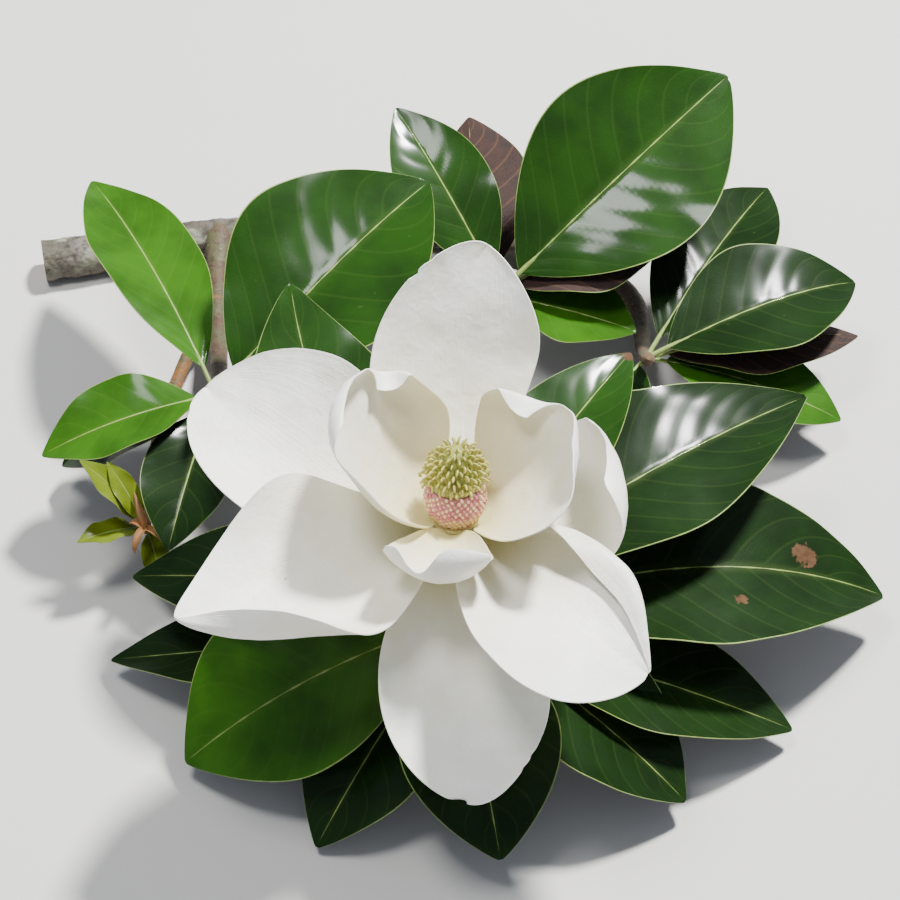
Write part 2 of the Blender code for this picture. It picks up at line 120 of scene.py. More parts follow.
# Each tepal: azimuth about the bloom's axis (0 = the viewer's right, 90 = the far side), the height
# and radius of its foot on the receptacle, and what differs from the plain tepal.
TEPALS = {
    "outer_front": dict(
        azimuth=-86, foot=(-7, 7), length=0.116, width=0.077, pitch=(-15, -38, -44), sweep=(0, 0, 26),
        cup=(20, 35, 25), lean=(0, 0, 0.12), wave=2 * MM, phase=1.0,
        nicks=[(0.955, -1, 0.4, 0.012), (0.90, 1, 0.04, 0.012), (0.94, 1, 0.06, 0.010)],
    ),
    "outer_left": dict(
        azimuth=153, foot=(-7, 7), length=0.134, width=0.088, pitch=(0, 22, 8), sweep=(0, 0, -24),
        twist=(0, -28, -30), cup=(20, 35, 25), lean=(0, -0.14, -0.16), wave=1.5 * MM,
        nicks=[(0.955, 1, 0.06, 0.012)],
    ),
    "outer_right": dict(
        azimuth=5, foot=(-7, 7), length=0.102, width=0.094, pitch=(-4, 30, 140), twist=(0, 14, 0),
        cup=(20, 36, 26), end=0.5, lean=(0, 0.16, 0.08),
    ),
    "middle_back": dict(
        azimuth=87, foot=(-2, 8), length=0.133, width=0.078, pitch=(10, 62, 62), sweep=(4, 0, -32),
        lean=(0, 0, -0.30), wave=1.2 * MM, phase=2.0,
        nicks=[(0.83, 1, 0.07, 0.009), (0.88, 1, 0.04, 0.008)],
    ),
    "middle_left": dict(
        azimuth=209, foot=(-2, 8), length=0.128, width=0.096, pitch=(12, 0, -2), peak=0.5,
        twist=(0, -22, -12), cup=(35, 30, 20), curl_left=(0, 30, 170), curl_span=(0.45, 0.85),
        tip_power=0.7, lean=(0, 0.14, 0.5), wave=6 * MM, waves=1.67, phase=0.3,
    ),
    "middle_right": dict(
        azimuth=-48, foot=(-2, 8), length=0.111, width=0.100, pitch=(12, -7, -34), peak=0.64, end=0.05,
        base_power=1.2, sweep=(0, 0, 22), twist=(0, 10, 6), cup=(35, 35, 25), curl_left=(0, 150, 180),
        curl_span=(0.55, 0.85), tip_power=0.8, lean=(-0.1, -0.02, -0.3), wave=2.4 * MM, waves=2.0,
        phase=3.4,
    ),
    "inner_left": dict(
        azimuth=170, foot=(3, 10), length=0.088, width=0.100, pitch=(30, 60, 54), cup=(55, 60, 30),
        twist=(0, -10, -10), curl_right=(0, 60, 110), curl_span=(0.5, 1), base_power=0.6, peak=0.5,
        end=0.6, tip_roll=(100, 0.7),
    ),
    "inner_right": dict(
        azimuth=0, foot=(3, 10), length=0.074, width=0.106, pitch=(30, 50, 74), cup=(55, 60, 50),
        twist=(0, 10, 10), curl_left=(0, 30, 60), curl_right=(-10, -24, -40), curl_span=(0.3, 1),
        base_power=0.7, peak=0.55, end=0.6, tip_roll=(45, 0.75),
    ),
    "inner_front": dict(
        azimuth=-98, foot=(3, 10), length=0.074, width=0.054, pitch=(30, 12, 136), cup=(60, 60, 40),
        end=0.85, notch=(0.20, -0.3, 0.3),
    ),
}
# How creamy the lower part of a tepal is, by whorl: partly the tepal's own cream, partly painted shade and
# bounced light deep in the cup
CREAM_AND_SHADE = {"outer": 0.25, "middle": 0.4, "inner": 1.0}

# Each stem: its middle line's points, its radius at the two ends, and start, the place along it
# (0 to 1) where the limb ends and the shoot begins. bud is the way its bud points, and how many
# times its radius that is long. Each leaf: the place of its foot along the stem, its tip, its width,
# its green if it isn't dark, and what differs from the plain leaf. roll turns it about its length,
# in degrees. spots are brown patches: the place along the leaf, the place across it, the radius.
# The fresh green that some leaves take is partly their own lighter green and partly painted light, for
# leaves lit through from behind
STEMS = {
    "right": dict(
        line=[(-222, 258, 11), (-120, 278, 10.4), (-40, 282, 9.4), (40, 272, 9), (92, 236, 10),
              (98, 180, 24), (96, 144, 58)],
        radii=(11, 2.5), start=0.60,
        leaves={
            "n": dict(at=0.94, tip=(206, 204, 50), roll=4, width=70, pitch=(12, 0, -24)),
            "m": dict(at=0.91, tip=(50, 90, 40), width=50),
            "z": dict(at=0.90, tip=(168, 280, 44), width=60),
            "o": dict(at=0.90, tip=(196, 138, 18), width=54, green="fresh"),
            "w": dict(at=0.92, tip=(206, 176, 40), roll=170, width=46, pitch=(-12, 0, 12)),
        },
    ),
    "bloom": dict(
        line=[(-44, 281, 12), (-32, 200, 9), (-18, 110, 7.4), (-6, 40, 7.45), (0, -4, 18), (0, -15, 48),
              (0, -6.2, 81.8), (0, -2.54, 95.53)],
        radii=(7.5, 6.2),
        leaves={
            "c": dict(at=0.74, tip=(-123, -63, 12), roll=-16, width=90, pitch=(22, 0, -20),
                      sweep=(-6, 0, 6), green="fresh"),
            "r": dict(at=0.72, tip=(-62, -104, 6), width=62),
            "p": dict(at=0.73, tip=(20, -120, 22), roll=4, width=74, pitch=(26, 0, -26)),
            "q": dict(at=0.74, tip=(104, -84, 12), roll=-6, width=72),
            "f": dict(at=0.72, tip=(204, 24, 22), roll=6, width=96, pitch=(20, 0, -24),
                      sweep=(12, 0, -12), spots=[(0.80, 0.30, 7), (0.62, -0.45, 4)]),
            "e": dict(at=0.79, tip=(168, 101, 78), roll=4, width=84, peak=0.46, tip_power=1.0,
                      wave=3 * MM),
            "d": dict(at=0.80, tip=(83, 104, 106), width=56, green="mature", spots=[(1.0, 0.0, 6)]),
            "b": dict(at=0.79, tip=(-78, 134, 122), width=78, pitch=(-18, 0, 14),
                      sweep=(16, 0, -16), green="mature"),
            "v": dict(at=0.76, tip=(-150, 16, 48), roll=-4, width=60),
            "g": dict(at=0.72, tip=(-162, -6, 12), roll=6, width=56, pitch=(0, 0, 0)),
            "z": dict(at=0.73, tip=(156, -44, 10), width=66, pitch=(8, 0, -8)),
        },
    ),
    "left": dict(
        line=[(-128, 277, 12), (-125, 215, 18), (-120, 160, 32), (-117, 124, 54), (-116, 104, 78)],
        radii=(6, 3),
        leaves={
            "a": dict(at=0.88, tip=(-13, 205, 120), roll=8, width=104, pitch=(8, 0, -16), green="mature"),
            "h": dict(at=0.83, tip=(-190, 262, 66), roll=8, width=54, wave=2 * MM, green="fresh"),
            "i": dict(at=0.86, tip=(-200, 88, 50), width=48, green="fresh"),
            "j": dict(at=0.78, tip=(-196, 108, 18), width=44),
            "x": dict(at=0.80, tip=(-136, 38, 40), width=46),
        },
    ),
    "young": dict(
        line=[(-125, 222, 17), (-142, 178, 11), (-152, 124, 10), (-151, 76, 16), (-148, 50, 40)],
        radii=(4.2, 1.5), bud=((-0.3, 0.77, 0.64), 11),
        leaves={
            "k1": dict(at=0.90, tip=(-178, 70, 68), width=16, green="young"),
            "k2": dict(at=0.94, tip=(-166, 74, 62), width=13, green="young"),
            "k3": dict(at=0.86, tip=(-180, 44, 38), width=15, green="young"),
            "k4": dict(at=0.84, tip=(-138, 26, 22), width=14, green="young"),
        },
    ),
    "top": dict(
        line=[(4, 279, 11), (9, 242, 18), (18, 208, 38), (27, 182, 64)],
        radii=(5.5, 2.5),
        leaves={
            "l": dict(at=0.82, tip=(141, 288, 116), roll=24, width=102, pitch=(12, 0, -12), green="mature"),
            "s": dict(at=0.76, tip=(8, 318, 60), roll=160, width=60, pitch=(-15, 0, 15)),
            "t": dict(at=0.72, tip=(93, 179, 40), width=54, pitch=(8, 0, -8), green="fresh"),
            "u": dict(at=0.79, tip=(114, 236, 64), roll=166, width=64, pitch=(-12, 0, 12)),
            "y": dict(at=0.90, tip=(-30, 270, 110), roll=-10, width=50, green="mature"),
        },
    ),
}
# The dark green is partly the leaves' own dark green and partly painted shade, for leaves that lie in shade
GREENS = ("dark", "mature", "fresh", "young")
# For each green, how strong the wax coat of its upper side is, and how rough
WAX = {"dark": (0.22, 0.16), "mature": (0.45, 0.13), "fresh": (0.3, 0.17), "young": (0.25, 0.25)}
NOT_SHAPE = ("at", "tip", "roll", "green", "spots", "azimuth", "foot")

# The middle of the bloom, in the bloom's own frame: (radius, height) from the bottom up, in millimetres
RECEPTACLE = [(6.2, -9.5), (8.8, -6), (9.6, -1), (10.6, 5.7)]
STAMEN_BAND = [(9.6, 6), (11.6, 9), (14, 15), (13.6, 21), (12.6, 24)]
CARPEL_CONE = [(12.4, 24.3), (11.6, 30), (9.4, 36), (6.4, 41), (2.2, 44)]
STAMENS = 320
STYLES = 136
# Below this height the band between the stubs is tan
TAN_HEIGHT = 12 * MM
# Each kind of style: how far it curls, in degrees, and its length in millimetres
STYLE_KINDS = [(170, 8.0), (250, 8.8), (120, 7.4), (300, 8.4)]
# Each dry scale at the young shoot's end: its way round, in degrees, and its length in millimetres
DRY_SCALES = [(-110, 17), (-35, 13), (150, 12)]
# The places along the limb, and beyond each shoot's start, of old leaf scars
LIMB_RINGS = (0.17, 0.34, 0.47, 0.58)
SHOOT_RINGS = (0.12, 0.3, 0.5)
# Each one's share of the bark relief, and how far a shoot flares at its foot
LIMB_LUMP, SHOOT_LUMP = 1.6, 0.45
SHOOT_FLARE = 0.45
# A bud's radius against its shoot's end, and its length against its radius
BUD_SWELL, BUD_LENGTH = 1.35, 5.2

# Each light: the way to it from the bloom, how far off it is, and its width, in metres
LIGHTS = {
    "key": ((0.33, 0.42, 0.84), 2.6, 0.36),
    "fill": ((-0.25, 0.03, 0.97), 1.5, 0.42),
}
FLOOR_SIZE = 24
# The picture's width, and how far its middle lies from the bloom's foot, right and up, in pixels
PICTURE_WIDTH = 900
PICTURE_MIDDLE = (-5, 78)

# The way from the layout frame to the packed model's, from the place of the sawn end in each
SHIFT = CUT_END - Vector(STEMS["right"]["line"][0]) * MM


def linear(code):
    """An sRGB hex colour, such as "F4F1E6", as linear red, green and blue."""
    parts = [int(code[k:k + 2], 16) / 255 for k in (0, 2, 4)]
    return tuple(c / 12.92 if c <= 0.04045 else ((c + 0.055) / 1.055) ** 2.4 for c in parts)


def colour(code, name, description):
    """A colour that a user may change, given as sRGB hex."""
    return bpy.props.FloatVectorProperty(
        name=name, description=description, subtype="COLOR", size=3, min=0, max=1, default=linear(code)
    )


def number(value, name, description, **kind):
    """A number that a user may change."""
    return bpy.props.FloatProperty(name=name, description=description, default=value, **kind)


def size(millimetres, name, description):
    """A size that a user may change, given in millimetres."""
    return number(millimetres * MM, name, description, unit="LENGTH", min=0)


class BloomSettings(bpy.types.PropertyGroup):
    """Sizes and colours of the bloom"""

    tepal_thickness: size(1.1, "Tepal thickness", "Thickness at the middle of a tepal")
    tepal: colour("F3F2EC", "Tepal", "The open part of a tepal")
    # Partly the tepal's own cream, partly painted shade and bounced light low in the cup
    tepal_cream_and_shade: colour("D8CEA2", "Tepal cream", "The creamier lower part of a tepal")
    # Partly the tepal's own green tint, partly painted shade where the tepals meet the cone
    tepal_foot_and_shade: colour("D2CB8E", "Tepal foot", "The green-tinted foot of a tepal")
    tepal_bruise: colour("A98A5C", "Bruise", "Small old marks on a tepal")
    receptacle: colour("CDBD86", "Receptacle", "The seat of the tepals")
    style: colour("BFB464", "Style", "The curled styles")
    style_green: colour("949640", "Green style", "The greener styles")
    carpel: colour("686C2C", "Carpel", "The cone that the styles stand on")
    scar_pink: colour("C27E80", "Pink scar", "Where the stamens have dropped")
    scar_purple: colour("9C5A68", "Purple scar", "The darker stamen scars")
    scar_cream: colour("D6BA94", "Cream scar", "The pale stamen scars")
    scar_tan: colour("C4AC72", "Tan scar", "The lowest stamen scars")


class LeafSettings(bpy.types.PropertyGroup):
    """Sizes and colours of the leaves"""

    thickness: size(0.7, "Leaf thickness", "Thickness at the middle of a leaf")
    rib_radius: size(1.7, "Stalk radius", "Radius of a leaf's stalk, where its rib starts")
    vein_depth: size(0.28, "Vein depth", "How far the side veins are sunk")
    # Partly the leaves' own dark green, partly painted shade for the leaves that lie in shade
    dark: colour("13290A", "Dark leaf", "Old leaves")
    mature: colour("1C3D09", "Mature leaf", "This year's hardened leaves")
    # Partly the leaves' own lighter green, partly painted light for leaves lit through from behind
    fresh: colour("305C0E", "Fresh leaf", "The brightest grown leaves")
    young: colour("64741A", "Young leaf", "The leaves of the young shoot")
    # Partly the felt's own rusty brown, partly painted shade for undersides that lie in shade
    felt: colour("2C1509", "Felt", "The rusty felt of a leaf's underside")
    young_felt: colour("8F8444", "Young felt", "The underside of a young leaf")
    rib: colour("809A48", "Midrib", "The stalk and the midrib")
    rib_felt: colour("6E4A2A", "Felted vein", "The paler felt on the veins of the underside")
    margin: colour("727E38", "Margin", "The thin pale edge")
    spot: colour("33190C", "Dead spot", "Dried brown patches")
    spot_pale: colour("624C36", "Pale dead spot", "The papery middle of a dried patch")


class WoodSettings(bpy.types.PropertyGroup):
    """Sizes and colours of the limb, the shoots and the buds"""

    relief: size(0.55, "Bark relief", "Height of the bark's lumps")
    bark: colour("48423A", "Limb bark", "The limb's grey bark")
    bark_patch: colour("6C665C", "Bark patch", "Its paler patches")
    lichen: colour("A3A68E", "Lichen", "Thin grey-green lichen on the limb")
    shoot: colour("4C4A2C", "Shoot bark", "The green-brown bark of a shoot")
    shoot_felt: colour("4C3824", "Shoot felt", "The rusty felt on a shoot")
    sapwood: colour("D9C49A", "Sapwood", "The sawn end")
    heartwood: colour("A98A5E", "Rings", "The rings of the sawn end")
    bud: colour("6E5230", "Bud felt", "The felt of a bud")
    scale: colour("80501E", "Bud scale", "The dry scales of the young shoot")


class StageSettings(bpy.types.PropertyGroup):
    """The camera, the floor and the lights"""

    elevation: number(math.radians(50), "Elevation", "The camera's, above the bloom", subtype="ANGLE")
    distance: size(1100, "Distance", "From the camera to the bloom's foot")
    view_width: size(400.5, "View width", "Width of the picture at the bloom's foot")
    key_power: number(215, "Key light", "Power of the key light, in watts")
    fill_power: number(15, "Fill light", "Power of the fill light, in watts")
    sky: colour("D4DFF0", "Sky", "The cool light from all round")
    sky_strength: number(0.48, "Sky strength", "How strong the light from all round is")
    floor: colour("CFCDC8", "Floor", "The pale level floor")


def through(keys, s):
    """The quadratic that takes the three keys at s = 0, 0.5 and 1."""
    first, middle, last = keys
    return first * (1 - s) * (1 - 2 * s) + 4 * middle * s * (1 - s) + last * s * (2 * s - 1)


def interpolated(places, table, at):
    """Rows of a table, given at these places, read between them."""
    return np.stack([np.interp(at, places, table[:, k]) for k in range(table.shape[1])], -1)


def bump(off, breadth):
    """1 where off is 0, fading smoothly to nothing over this breadth."""
    return np.exp(-((off / breadth) ** 2))


class Blade:
    """A thin curved blade, as a function from (s, q) to a point.

    s runs from the foot, 0, to the tip, 1, and q across the blade, from -1 to 1. The blade starts
    at the origin along +X with its upper face to +Z, and +q is its +Y side.
    """

    def __init__(self, shape):
        self.shape = shape
        s = np.linspace(0, 1, BLADE_POINTS)
        pitch, sweep, twist = (np.radians(through(shape[key], s)) for key in ("pitch", "sweep", "twist"))
        tip_roll, roll_start = shape["tip_roll"]
        pitch = pitch + np.radians(tip_roll) * np.clip((s - roll_start) / (1 - roll_start), 0, 1) ** 1.5
        zero = np.zeros_like(s)
        along = np.stack([np.cos(pitch), zero, np.sin(pitch)], 1)
        up = np.stack([-np.sin(pitch), zero, np.cos(pitch)], 1)
        side = np.stack([zero, zero + 1, zero], 1)
        cos_g, sin_g = np.cos(sweep)[:, None], np.sin(sweep)[:, None]
        along, side = cos_g * along + sin_g * side, cos_g * side - sin_g * along
        cos_t, sin_t = np.cos(twist)[:, None], np.sin(twist)[:, None]
        side, up = cos_t * side + sin_t * up, cos_t * up - sin_t * side
        steps = (along[1:] + along[:-1]) / 2 * shape["length"] / (len(s) - 1)
        self.s = s
        self.side, self.up = side, up
        self.middle = np.concatenate([np.zeros((1, 3)), np.cumsum(steps, 0)])

    def half_width(self, s):
        """Half the blade's width at s: a stalk or claw, a swell to the widest place, and the tip."""
        shape = self.shape
        stalk, peak = shape["stalk"], shape["peak"]
        t = np.clip((s - stalk) / (1 - stalk), 0, 1)
        claw, end = shape["claw"], shape["end"]
        swell = np.sin(np.pi / 2 * np.clip(t / peak, 0, 1)) ** shape["base_power"]
        fall = np.cos(np.pi / 2 * np.clip((t - peak) / (1 - peak), 0, 1)) ** shape["tip_power"]
        return shape["width"] / 2 * np.where(t < peak, claw + (1 - claw) * swell, end + (1 - end) * fall)

    def points(self, s, q):
        shape = self.shape
        t = np.abs(q)
        depth, across, breadth = shape["notch"]
        notch = depth * s**6 * bump(q - across, breadth)
        for place, side, deep, wide in shape["nicks"]:
            t = t * (1 - deep * (q * side > 0) * t**8 * bump(s - place, wide))
        s = s - notch
        half = self.half_width(s) * (1 + np.sign(q) * through(shape["lean"], s))
        fold, cup, left, right = (
            np.radians(through(shape[key], s)) for key in ("fold", "cup", "curl_left", "curl_right")
        )
        curl = np.where(q > 0, left, right)
        level, lift = 0.0, 0.0
        start, end = shape["curl_span"]
        for k in range(SECTION_STEPS):
            u = t * (k + 0.5) / SECTION_STEPS
            rolled = np.clip((u - start) / (end - start), 0, 1)
            angle = fold + cup * u + curl * rolled**2 * (3 - 2 * rolled)
            level = level + np.cos(angle) / SECTION_STEPS
            lift = lift + np.sin(angle) / SECTION_STEPS
        phase = np.where(q > 0, shape["phase"], shape["phase"] + WAVE_LAG)
        wave = shape["wave"] * t**2 * np.sin(2 * np.pi * shape["waves"] * s + phase) * np.sin(np.pi * s)
        deep, breadth = shape["crease"]
        return (
            self.at(self.middle, s)
            + self.at(self.side, s) * (np.sign(q) * half * t * level)[..., None]
            + self.at(self.up, s) * (half * t * lift + wave - deep * s**2 * bump(q, breadth))[..., None]
        )

    def at(self, table, s):
        return interpolated(self.s, table, s)


def smooth_line(points, at):
    """Places on the Catmull-Rom line through the points, in metres, for at from 0 to 1."""
    points = np.array(points, float) * MM
    points = np.concatenate([[2 * points[0] - points[1]], points, [2 * points[-1] - points[-2]]])
    at = np.asarray(at) * (len(points) - 3)
    piece = np.clip(at.astype(int), 0, len(points) - 4)
    f = (at - piece)[:, None]
    a, b, c, d = (points[piece + k] for k in range(4))
    return 0.5 * (2 * b + (c - a) * f + (2 * a - 5 * b + 4 * c - d) * f**2 + (3 * b - a - 3 * c + d) * f**3)


class Course:
    """A stem's middle line between two places, with a frame that doesn't twist along it."""

    def __init__(self, line, part):
        self.place = np.linspace(*part, COURSE_POINTS)
        self.middle = smooth_line(line, self.place)
        along = np.gradient(self.middle, axis=0)
        step = np.linalg.norm(along, axis=1)
        along /= step[:, None]
        side = [np.cross(along[0], (0.1, 0.2, 1))]
        for direction in along:
            across = side[-1] - direction * (side[-1] @ direction)
            side.append(across / np.linalg.norm(across))
        self.along = along
        self.side = np.array(side[1:])
        self.up = np.cross(along, self.side)
        self.run = np.concatenate([[0], np.cumsum((step[1:] + step[:-1]) / 2)])
        self.length = self.run[-1]

    def at(self, table, place):
        return interpolated(self.place, table, place)


def around(line, place, angle):
    """The way out from a blade's or a stem's middle line, at this angle from its side."""
    side, up = line.at(line.side, place), line.at(line.up, place)
    return side * np.cos(angle)[:, None] + up * np.sin(angle)[:, None]


def bloom_frame():
    """From the bloom's own frame, its axis along +Z and its foot at the origin, to the layout frame."""
    return Matrix.Translation(Vector(BLOOM_FOOT) * MM) @ Matrix.Rotation(-BLOOM_LEAN, 4, "X")


def moved(points, place):
    """Points taken by this matrix from the layout frame, or from their own, to the packed model's."""
    matrix = np.array(Matrix.Translation(SHIFT) @ place)
    return points @ matrix[:3, :3].T + matrix[:3, 3]


def leaf_between(shape, base, tip, roll):
    """The leaf's shape made to reach from base to tip, and the matrix that lays it there."""
    blade = Blade(shape)
    chord = Vector(blade.middle[-1])
    shape = shape | {"length": shape["length"] * (tip - base).length / chord.length}

    def frame_of(direction, up):
        direction = direction.normalized()
        side = up.cross(direction).normalized()
        return Matrix((direction, side, direction.cross(side))).transposed()

    own = frame_of(chord, Vector(blade.up[BLADE_POINTS // 2]))
    there = Matrix.Rotation(math.radians(roll), 3, tip - base) @ frame_of(tip - base, Vector((0, 0, 1)))
    return shape, Matrix.Translation(base) @ (there @ own.transposed()).to_4x4()


def lumps(points, coarse, octaves=3):
    """Seeded fractal noise at points, about -1 to 1, whose largest lumps measure coarse."""
    return np.array([noise.fractal(Vector(p) / coarse, 1.0, 2.0, octaves) for p in points])


def choose(*objects):
    """Selects only these objects, or none, and makes the first one active."""
    bpy.ops.object.select_all(action="DESELECT")
    for obj in reversed(objects):
        obj.select_set(True)
        bpy.context.view_layer.objects.active = obj


def coordinates(mesh):
    found = np.empty(len(mesh.vertices) * 3)
    mesh.vertices.foreach_get("co", found)
    return found.reshape(-1, 3)


def bent_grid(cells, form):
    """A grid whose corners are placed by form(x, y), for x and y from 0 to 1. Returns it with x and y."""
    choose()
    bpy.ops.mesh.primitive_grid_add(x_subdivisions=cells[0], y_subdivisions=cells[1], size=1)
    grid = bpy.context.object
    flat = coordinates(grid.data) + 0.5
    x, y = np.clip(flat[:, 0], 0, 1), np.clip(flat[:, 1], 0, 1)
    grid.data.vertices.foreach_set("co", form(x, y).ravel())
    grid.matrix_world = Matrix()
    return grid, x, y


def rolled_up(grid):
    """The bent grid closed into a tube: seam and poles merged, ends filled, faces turned out."""
    choose(grid)
    bpy.ops.object.mode_set(mode="EDIT")
    bpy.ops.mesh.select_all(action="SELECT")
    bpy.ops.mesh.remove_doubles(threshold=WELD)
    bpy.ops.mesh.fill_holes(sides=0)
    bpy.ops.mesh.select_all(action="SELECT")
    bpy.ops.mesh.normals_make_consistent(inside=False)
    bpy.ops.object.mode_set(mode="OBJECT")
    return grid


def write_attribute(sheet, name, *parts):
    """Gives each point of the sheet one number, or the three parts of a vector."""
    kind, key = ("FLOAT", "value") if len(parts) == 1 else ("FLOAT_VECTOR", "vector")
    made = sheet.data.attributes.new(name, kind, "POINT")
    made.data.foreach_set(key, np.stack(parts, 1).ravel())


def in_slots(obj, materials, used=None):
    """Gives the object these materials, and its faces the slots that they use."""
    obj.data.materials.clear()
    for material in materials:
        obj.data.materials.append(material)
    if used is not None:
        obj.data.polygons.foreach_set("material_index", np.array(used, np.int32))


def give_thickness(sheet, thickness, weights, edge, behind=0):
    """Solidify, applied. edge is the margin's share of the thickness, and the back's slot is behind on."""
    group = sheet.vertex_groups.new(name="thickness")
    for k, weight in enumerate(weights):
        group.add([k], float(weight), "REPLACE")
    solid = sheet.modifiers.new("thickness", "SOLIDIFY")
    solid.thickness = thickness
    solid.offset = 0
    solid.vertex_group = "thickness"
    solid.thickness_vertex_group = edge
    solid.material_offset = behind
    choose(sheet)
    bpy.ops.object.modifier_apply(modifier="thickness")
    sheet.vertex_groups.clear()


def hand_over(parts, name, node):
    """The parts as one smooth piece of that name, which rides on the one body for its packed solid."""
    choose(*parts)
    if len(parts) > 1:
        bpy.ops.object.join()
    piece = bpy.context.object
    piece.name = name
    piece.data.name = name
    bpy.ops.object.shade_smooth_by_angle(angle=math.radians(50))
    if not piece.data.polygons:
        raise RuntimeError(name + " has no faces")
    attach(piece, "root")
    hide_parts(node)


# Materials. A kind of node is given without the "ShaderNode" that every kind starts with.
SHADER = "Principled BSDF"
SHARE, UNDER, OVER = 0, 6, 7
AS_COLOUR = {"out": 2, "data_type": "RGBA"}
# Year rings, drawn 10 mm apart so that they show on so small an end, and how far apart a wave
# texture draws them at a scale of 1
RING_WIDTH = 10.05
WAVE_REPEAT = math.tau / 20


def per_metre(millimetres):
    """The scale of a pattern on Object coordinates whose features measure this."""
    return 1000 / millimetres


def toned(colour_value, share):
    """A darker or lighter colour: each of its parts times this share."""
    return tuple(part * share for part in colour_value)


def between(first, second, share):
    """The colour that lies this share of the way from the first to the second."""
    return tuple(a + (b - a) * share for a, b in zip(first, second))


def add_node(tree, kind, inputs=(), out=0, **settings):
    """Adds a node with its settings, sets its inputs or links them, and returns one of its outputs.

    The inputs are given in order, or by name or place. One that is another node's output is linked.
    """
    node = tree.nodes.new("ShaderNode" + kind)
    for name, value in settings.items():
        setattr(node, name, value)
    for key, value in inputs.items() if isinstance(inputs, dict) else enumerate(inputs):
        socket = node.inputs[key]
        if isinstance(value, bpy.types.NodeSocket):
            tree.links.new(value, socket)
        else:
            socket.default_value = (*value, 1) if socket.type == "RGBA" else value
    return node.outputs[out]


def new_finish(name, clouds=(), **constants):
    """A new material whose shader has these constants, its tree, its Object coordinates, and a noise
    on them for each of the clouds, given as (size in millimetres, detail)."""
    material = bpy.data.materials.new(name)
    material.use_nodes = True
    tree = material.node_tree
    for key, value in constants.items():
        tree.nodes[SHADER].inputs[key.replace("_", " ")].default_value = value
    where = add_node(tree, "TexCoord", out="Object")
    noises = [
        add_node(tree, "TexNoise", {"Vector": where, "Scale": per_metre(across), "Detail": detail})
        for across, detail in clouds
    ]
    return material, tree, where, *noises


def layered(tree, tone, *layers):
    """Lays colours over a tone in turn, each given as (what spreads it, from, to, its share at from,
    its share at to, the colour)."""
    for spread, start, end, first, last, over in layers:
        share = add_node(tree, "MapRange", [spread, start, end, first, last])
        tone = add_node(tree, "Mix", {SHARE: share, UNDER: tone, OVER: over}, **AS_COLOUR)
    return tone


def wire(material, tone, gloss, rough, relief, depth, strength):
    """The material with its colour, its roughness over gloss from 0 to 1, and its relief, depth high."""
    tree = material.node_tree
    rough = add_node(tree, "MapRange", [gloss, 0.3, 0.7, *rough])
    relief = add_node(tree, "Bump", {"Height": relief, "Distance": depth * MM, "Strength": strength})
    for key, value in {"Base Color": tone, "Roughness": rough, "Normal": relief}.items():
        tree.links.new(value, tree.nodes[SHADER].inputs[key])
    return material


def blade_places(tree):
    """The blade attribute, and its parts: the place along, the place across, and the third one."""
    blade = add_node(tree, "Attribute", out="Vector", attribute_name="blade")
    return blade, *(add_node(tree, "SeparateXYZ", [blade], axis) for axis in "XYZ")


def side_veins(tree, count, breadth):
    """1 on a leaf's side veins, where the count of veins is whole, falling to 0 beside them."""
    off_vein = add_node(tree, "Math", [count, 0.5], operation="PINGPONG")
    return add_node(tree, "MapRange", [off_vein, 0.0, breadth, 1.0, 0.0], interpolation_type="SMOOTHSTEP")


def fresh_tepal(settings):
    """Fresh tepal, thick waxy petal flesh. Matt white that glows a little where light comes through, cream
    low down and greener at its foot, each partly the tepal's own colour and partly painted shade and bounced
    light, with long faint veins, a crinkle and a few old bruises."""
    material, tree, where, cloud, speck = new_finish(
        "fresh_tepal", [(14, 3.0), (4.5, 1.0)], Subsurface_Weight=0.15, Subsurface_Scale=1.4 * MM,
        Subsurface_Radius=(1.0, 0.95, 0.75), Sheen_Weight=0.05, Sheen_Roughness=0.4,
    )
    blade, along, _, cream = blade_places(tree)
    # The cream low down and the tint at the foot are partly painted shade and bounced light, where the
    # tepals crowd round the cone
    tone = layered(
        tree, settings.tepal,
        (along, 0.10, 0.90, cream, 0.0, settings.tepal_cream_and_shade),
        (cloud, 0.35, 0.65, 0.0, 0.22, settings.tepal_cream_and_shade),
        (along, 0.02, 0.26, 0.85, 0.0, settings.tepal_foot_and_shade),
        (speck, 0.79, 0.82, 0.0, 0.45, settings.tepal_bruise),
    )
    # The veins run along the tepal, about 1 mm apart
    drawn_out = add_node(tree, "VectorMath", [blade, (2.0, 46.0, 0.0)], operation="MULTIPLY")
    veins = add_node(tree, "TexNoise", {"Vector": drawn_out, "Scale": 1.0, "Detail": 2.0})
    crinkle = {"Vector": where, "Scale": per_metre(4), "Detail": 3.0, "Distortion": 0.6}
    crinkle = add_node(tree, "TexNoise", crinkle)
    relief = add_node(tree, "Math", [crinkle, 1.6, veins], operation="MULTIPLY_ADD")
    return wire(material, tone, crinkle, (0.42, 0.56), relief, 0.4, 0.5)


